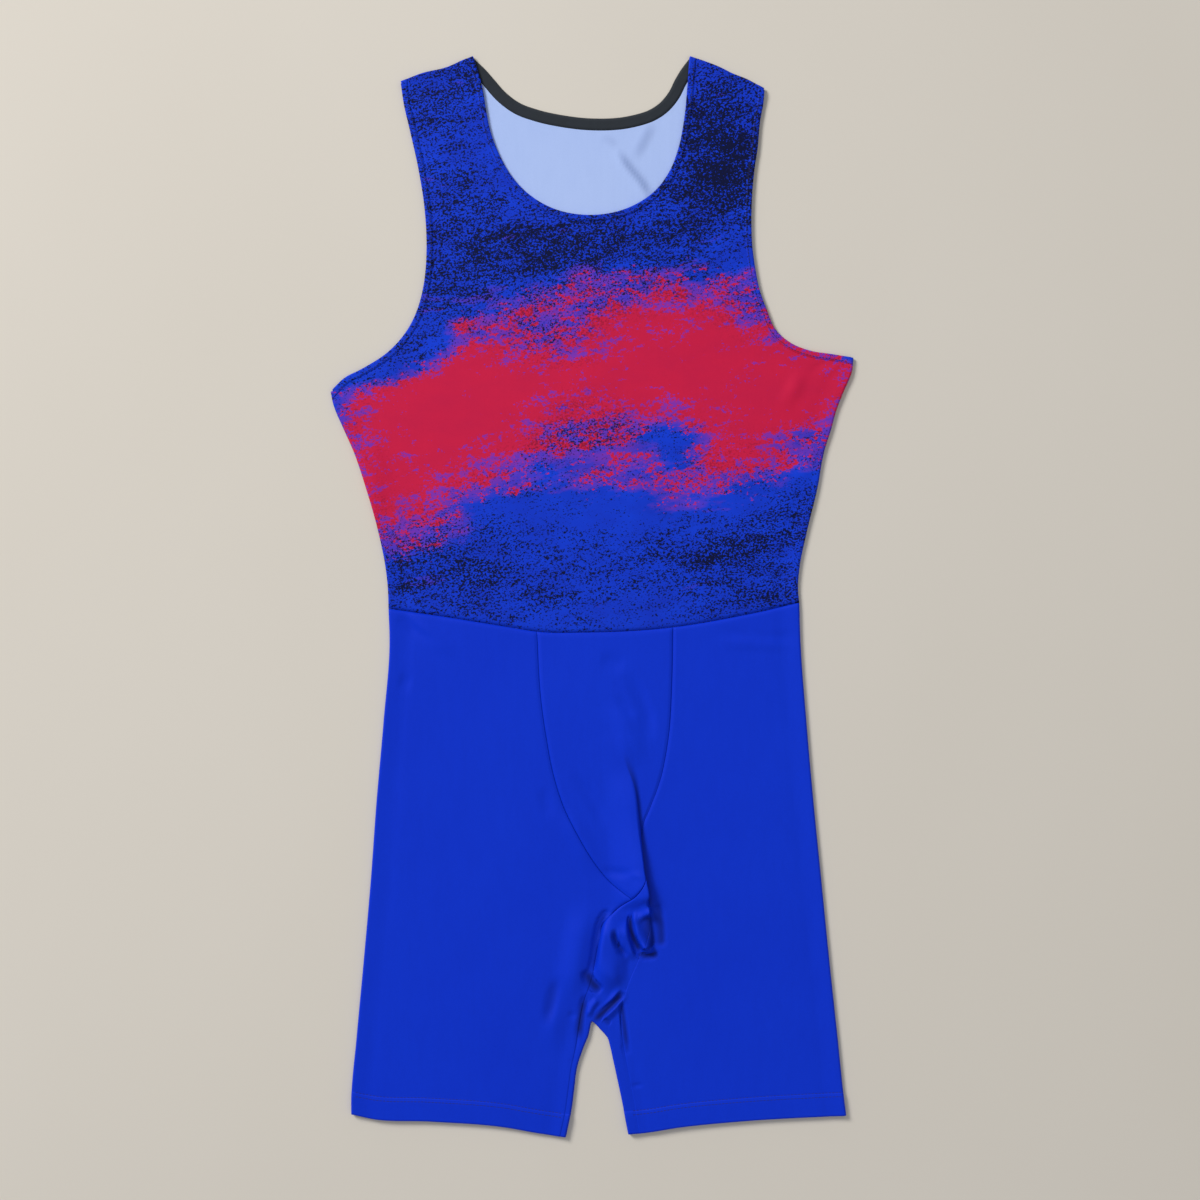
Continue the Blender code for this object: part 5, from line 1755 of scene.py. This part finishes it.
    def stitching(self) -> dict[str, list[bpy.types.Object]]:
        """The rows of stitches, by the node of the piece that carries them."""
        made: dict[str, list[bpy.types.Object]] = {}
        for node, table in (("right_leg", LEFT_HEM), ("left_leg", RIGHT_HEM)):
            hem = at(smooth(table), np.linspace(0.02, 0.98, 120))
            up = np.array([0, 1.0])
            front = [StitchRow(self.on_front(hem + up * height)) for height in HEM_ROWS]
            made[node] = [Stitching(f"{node}_hem_stitching", "royal_knit", front, self.finishes.royal_thread).build()]
        neck = at(smooth(FRONT_NECK), np.linspace(0.01, 0.99, 200))
        into = hand_of(neck, -1)
        rows = [StitchRow(self.on_front(neck + into * depth, 0.5), 3.0, 2.2, 0.5) for depth in NECK_ROWS]
        made["front_neck_band"] = [
            Stitching("front_neck_stitching", "band_knit", rows, self.finishes.navy_thread).build()
        ]
        for node, hole, hand in (("right_armhole_band", self.holes[0], -1), ("left_armhole_band", self.holes[1], 1)):
            edge = hole.edge[2:-2]
            rows = [
                StitchRow(self.on_front(edge + hand_of(edge, hand) * depth, 0.5), 3.0, 2.2, 0.5)
                for depth in NECK_ROWS
            ]
            made[node] = [Stitching(f"{node}_stitching", "band_knit", rows, self.finishes.navy_thread).build()]
        return made

    def build(self) -> None:
        """Makes every piece and its stitching."""
        self.pieces = self.bodice() + self.shorts()
        for piece in self.pieces:
            made = piece.build()
            log.info("%s: %d faces", made.name, len(made.data.polygons))
        threads = self.stitching()
        for piece in self.pieces:
            piece.declare(threads.get(piece.node, []))
        log.info("stitching: %d pieces", sum(len(group) for group in threads.values()))


@dataclass
class Studio:
    """The plain floor, the soft light from the upper left and the camera straight above."""

    floor_material: bpy.types.Material
    camera_height: float = 1.6
    seen_width: float = 1.116
    centre: tuple[float, float] = (0.0074, -0.0033)
    floor_half: float = 3.0

    def build(self) -> None:
        """Makes the floor, the lights and the camera."""
        self.floor()
        self.light("key_light", (-3.4, 3.0, 3.2), 1.9, 278.0, (1.0, 0.985, 0.965))
        self.light("fill_light", (1.0, -0.8, 2.6), 2.6, 9.0, (0.95, 0.97, 1.0))
        world = bpy.data.worlds.new("soft_room")
        world.use_nodes = True
        backdrop = world.node_tree.nodes["Background"]
        backdrop.inputs["Color"].default_value = (0.95, 0.97, 1.0, 1.0)
        backdrop.inputs["Strength"].default_value = 0.34
        bpy.context.scene.world = world
        bpy.context.scene.view_settings.view_transform = "Standard"
        self.camera()

    def floor(self) -> None:
        """Makes the floor, just under the garment."""
        reach = self.floor_half / METRES
        corners = np.array([[-reach, -reach, 0], [reach, -reach, 0], [reach, reach, 0], [-reach, reach, 0]])
        mesh = bpy.data.meshes.new("floor")
        mesh.from_pydata((corners * METRES).tolist(), [], [(0, 1, 2, 3)])
        made = bpy.data.objects.new("floor", mesh)
        made.data.materials.append(self.floor_material)
        bpy.context.scene.collection.objects.link(made)

    def light(self, name: str, place: tuple[float, float, float], size: float, power: float, tint: tuple[float, float, float]) -> None:
        """Makes one soft square light that faces the garment."""
        lamp = bpy.data.lights.new(name, "AREA")
        lamp.size = size
        lamp.energy = power
        lamp.color = tint
        made = bpy.data.objects.new(name, lamp)
        made.location = place
        made.rotation_euler = (-Vector(place)).to_track_quat("-Z", "Y").to_euler()
        bpy.context.scene.collection.objects.link(made)

    def camera(self) -> None:
        """Makes the camera, looking straight down."""
        lens = bpy.data.cameras.new("camera")
        lens.lens = lens.sensor_width * self.camera_height / self.seen_width
        made = bpy.data.objects.new("camera", lens)
        made.location = (*self.centre, self.camera_height)
        bpy.context.scene.collection.objects.link(made)
        bpy.context.scene.camera = made


def main() -> None:
    """Builds the studio and the garment."""
    unitard = Unitard()
    Studio(unitard.finishes.floor).build()
    unitard.build()


if __name__ == "__main__":
    main()
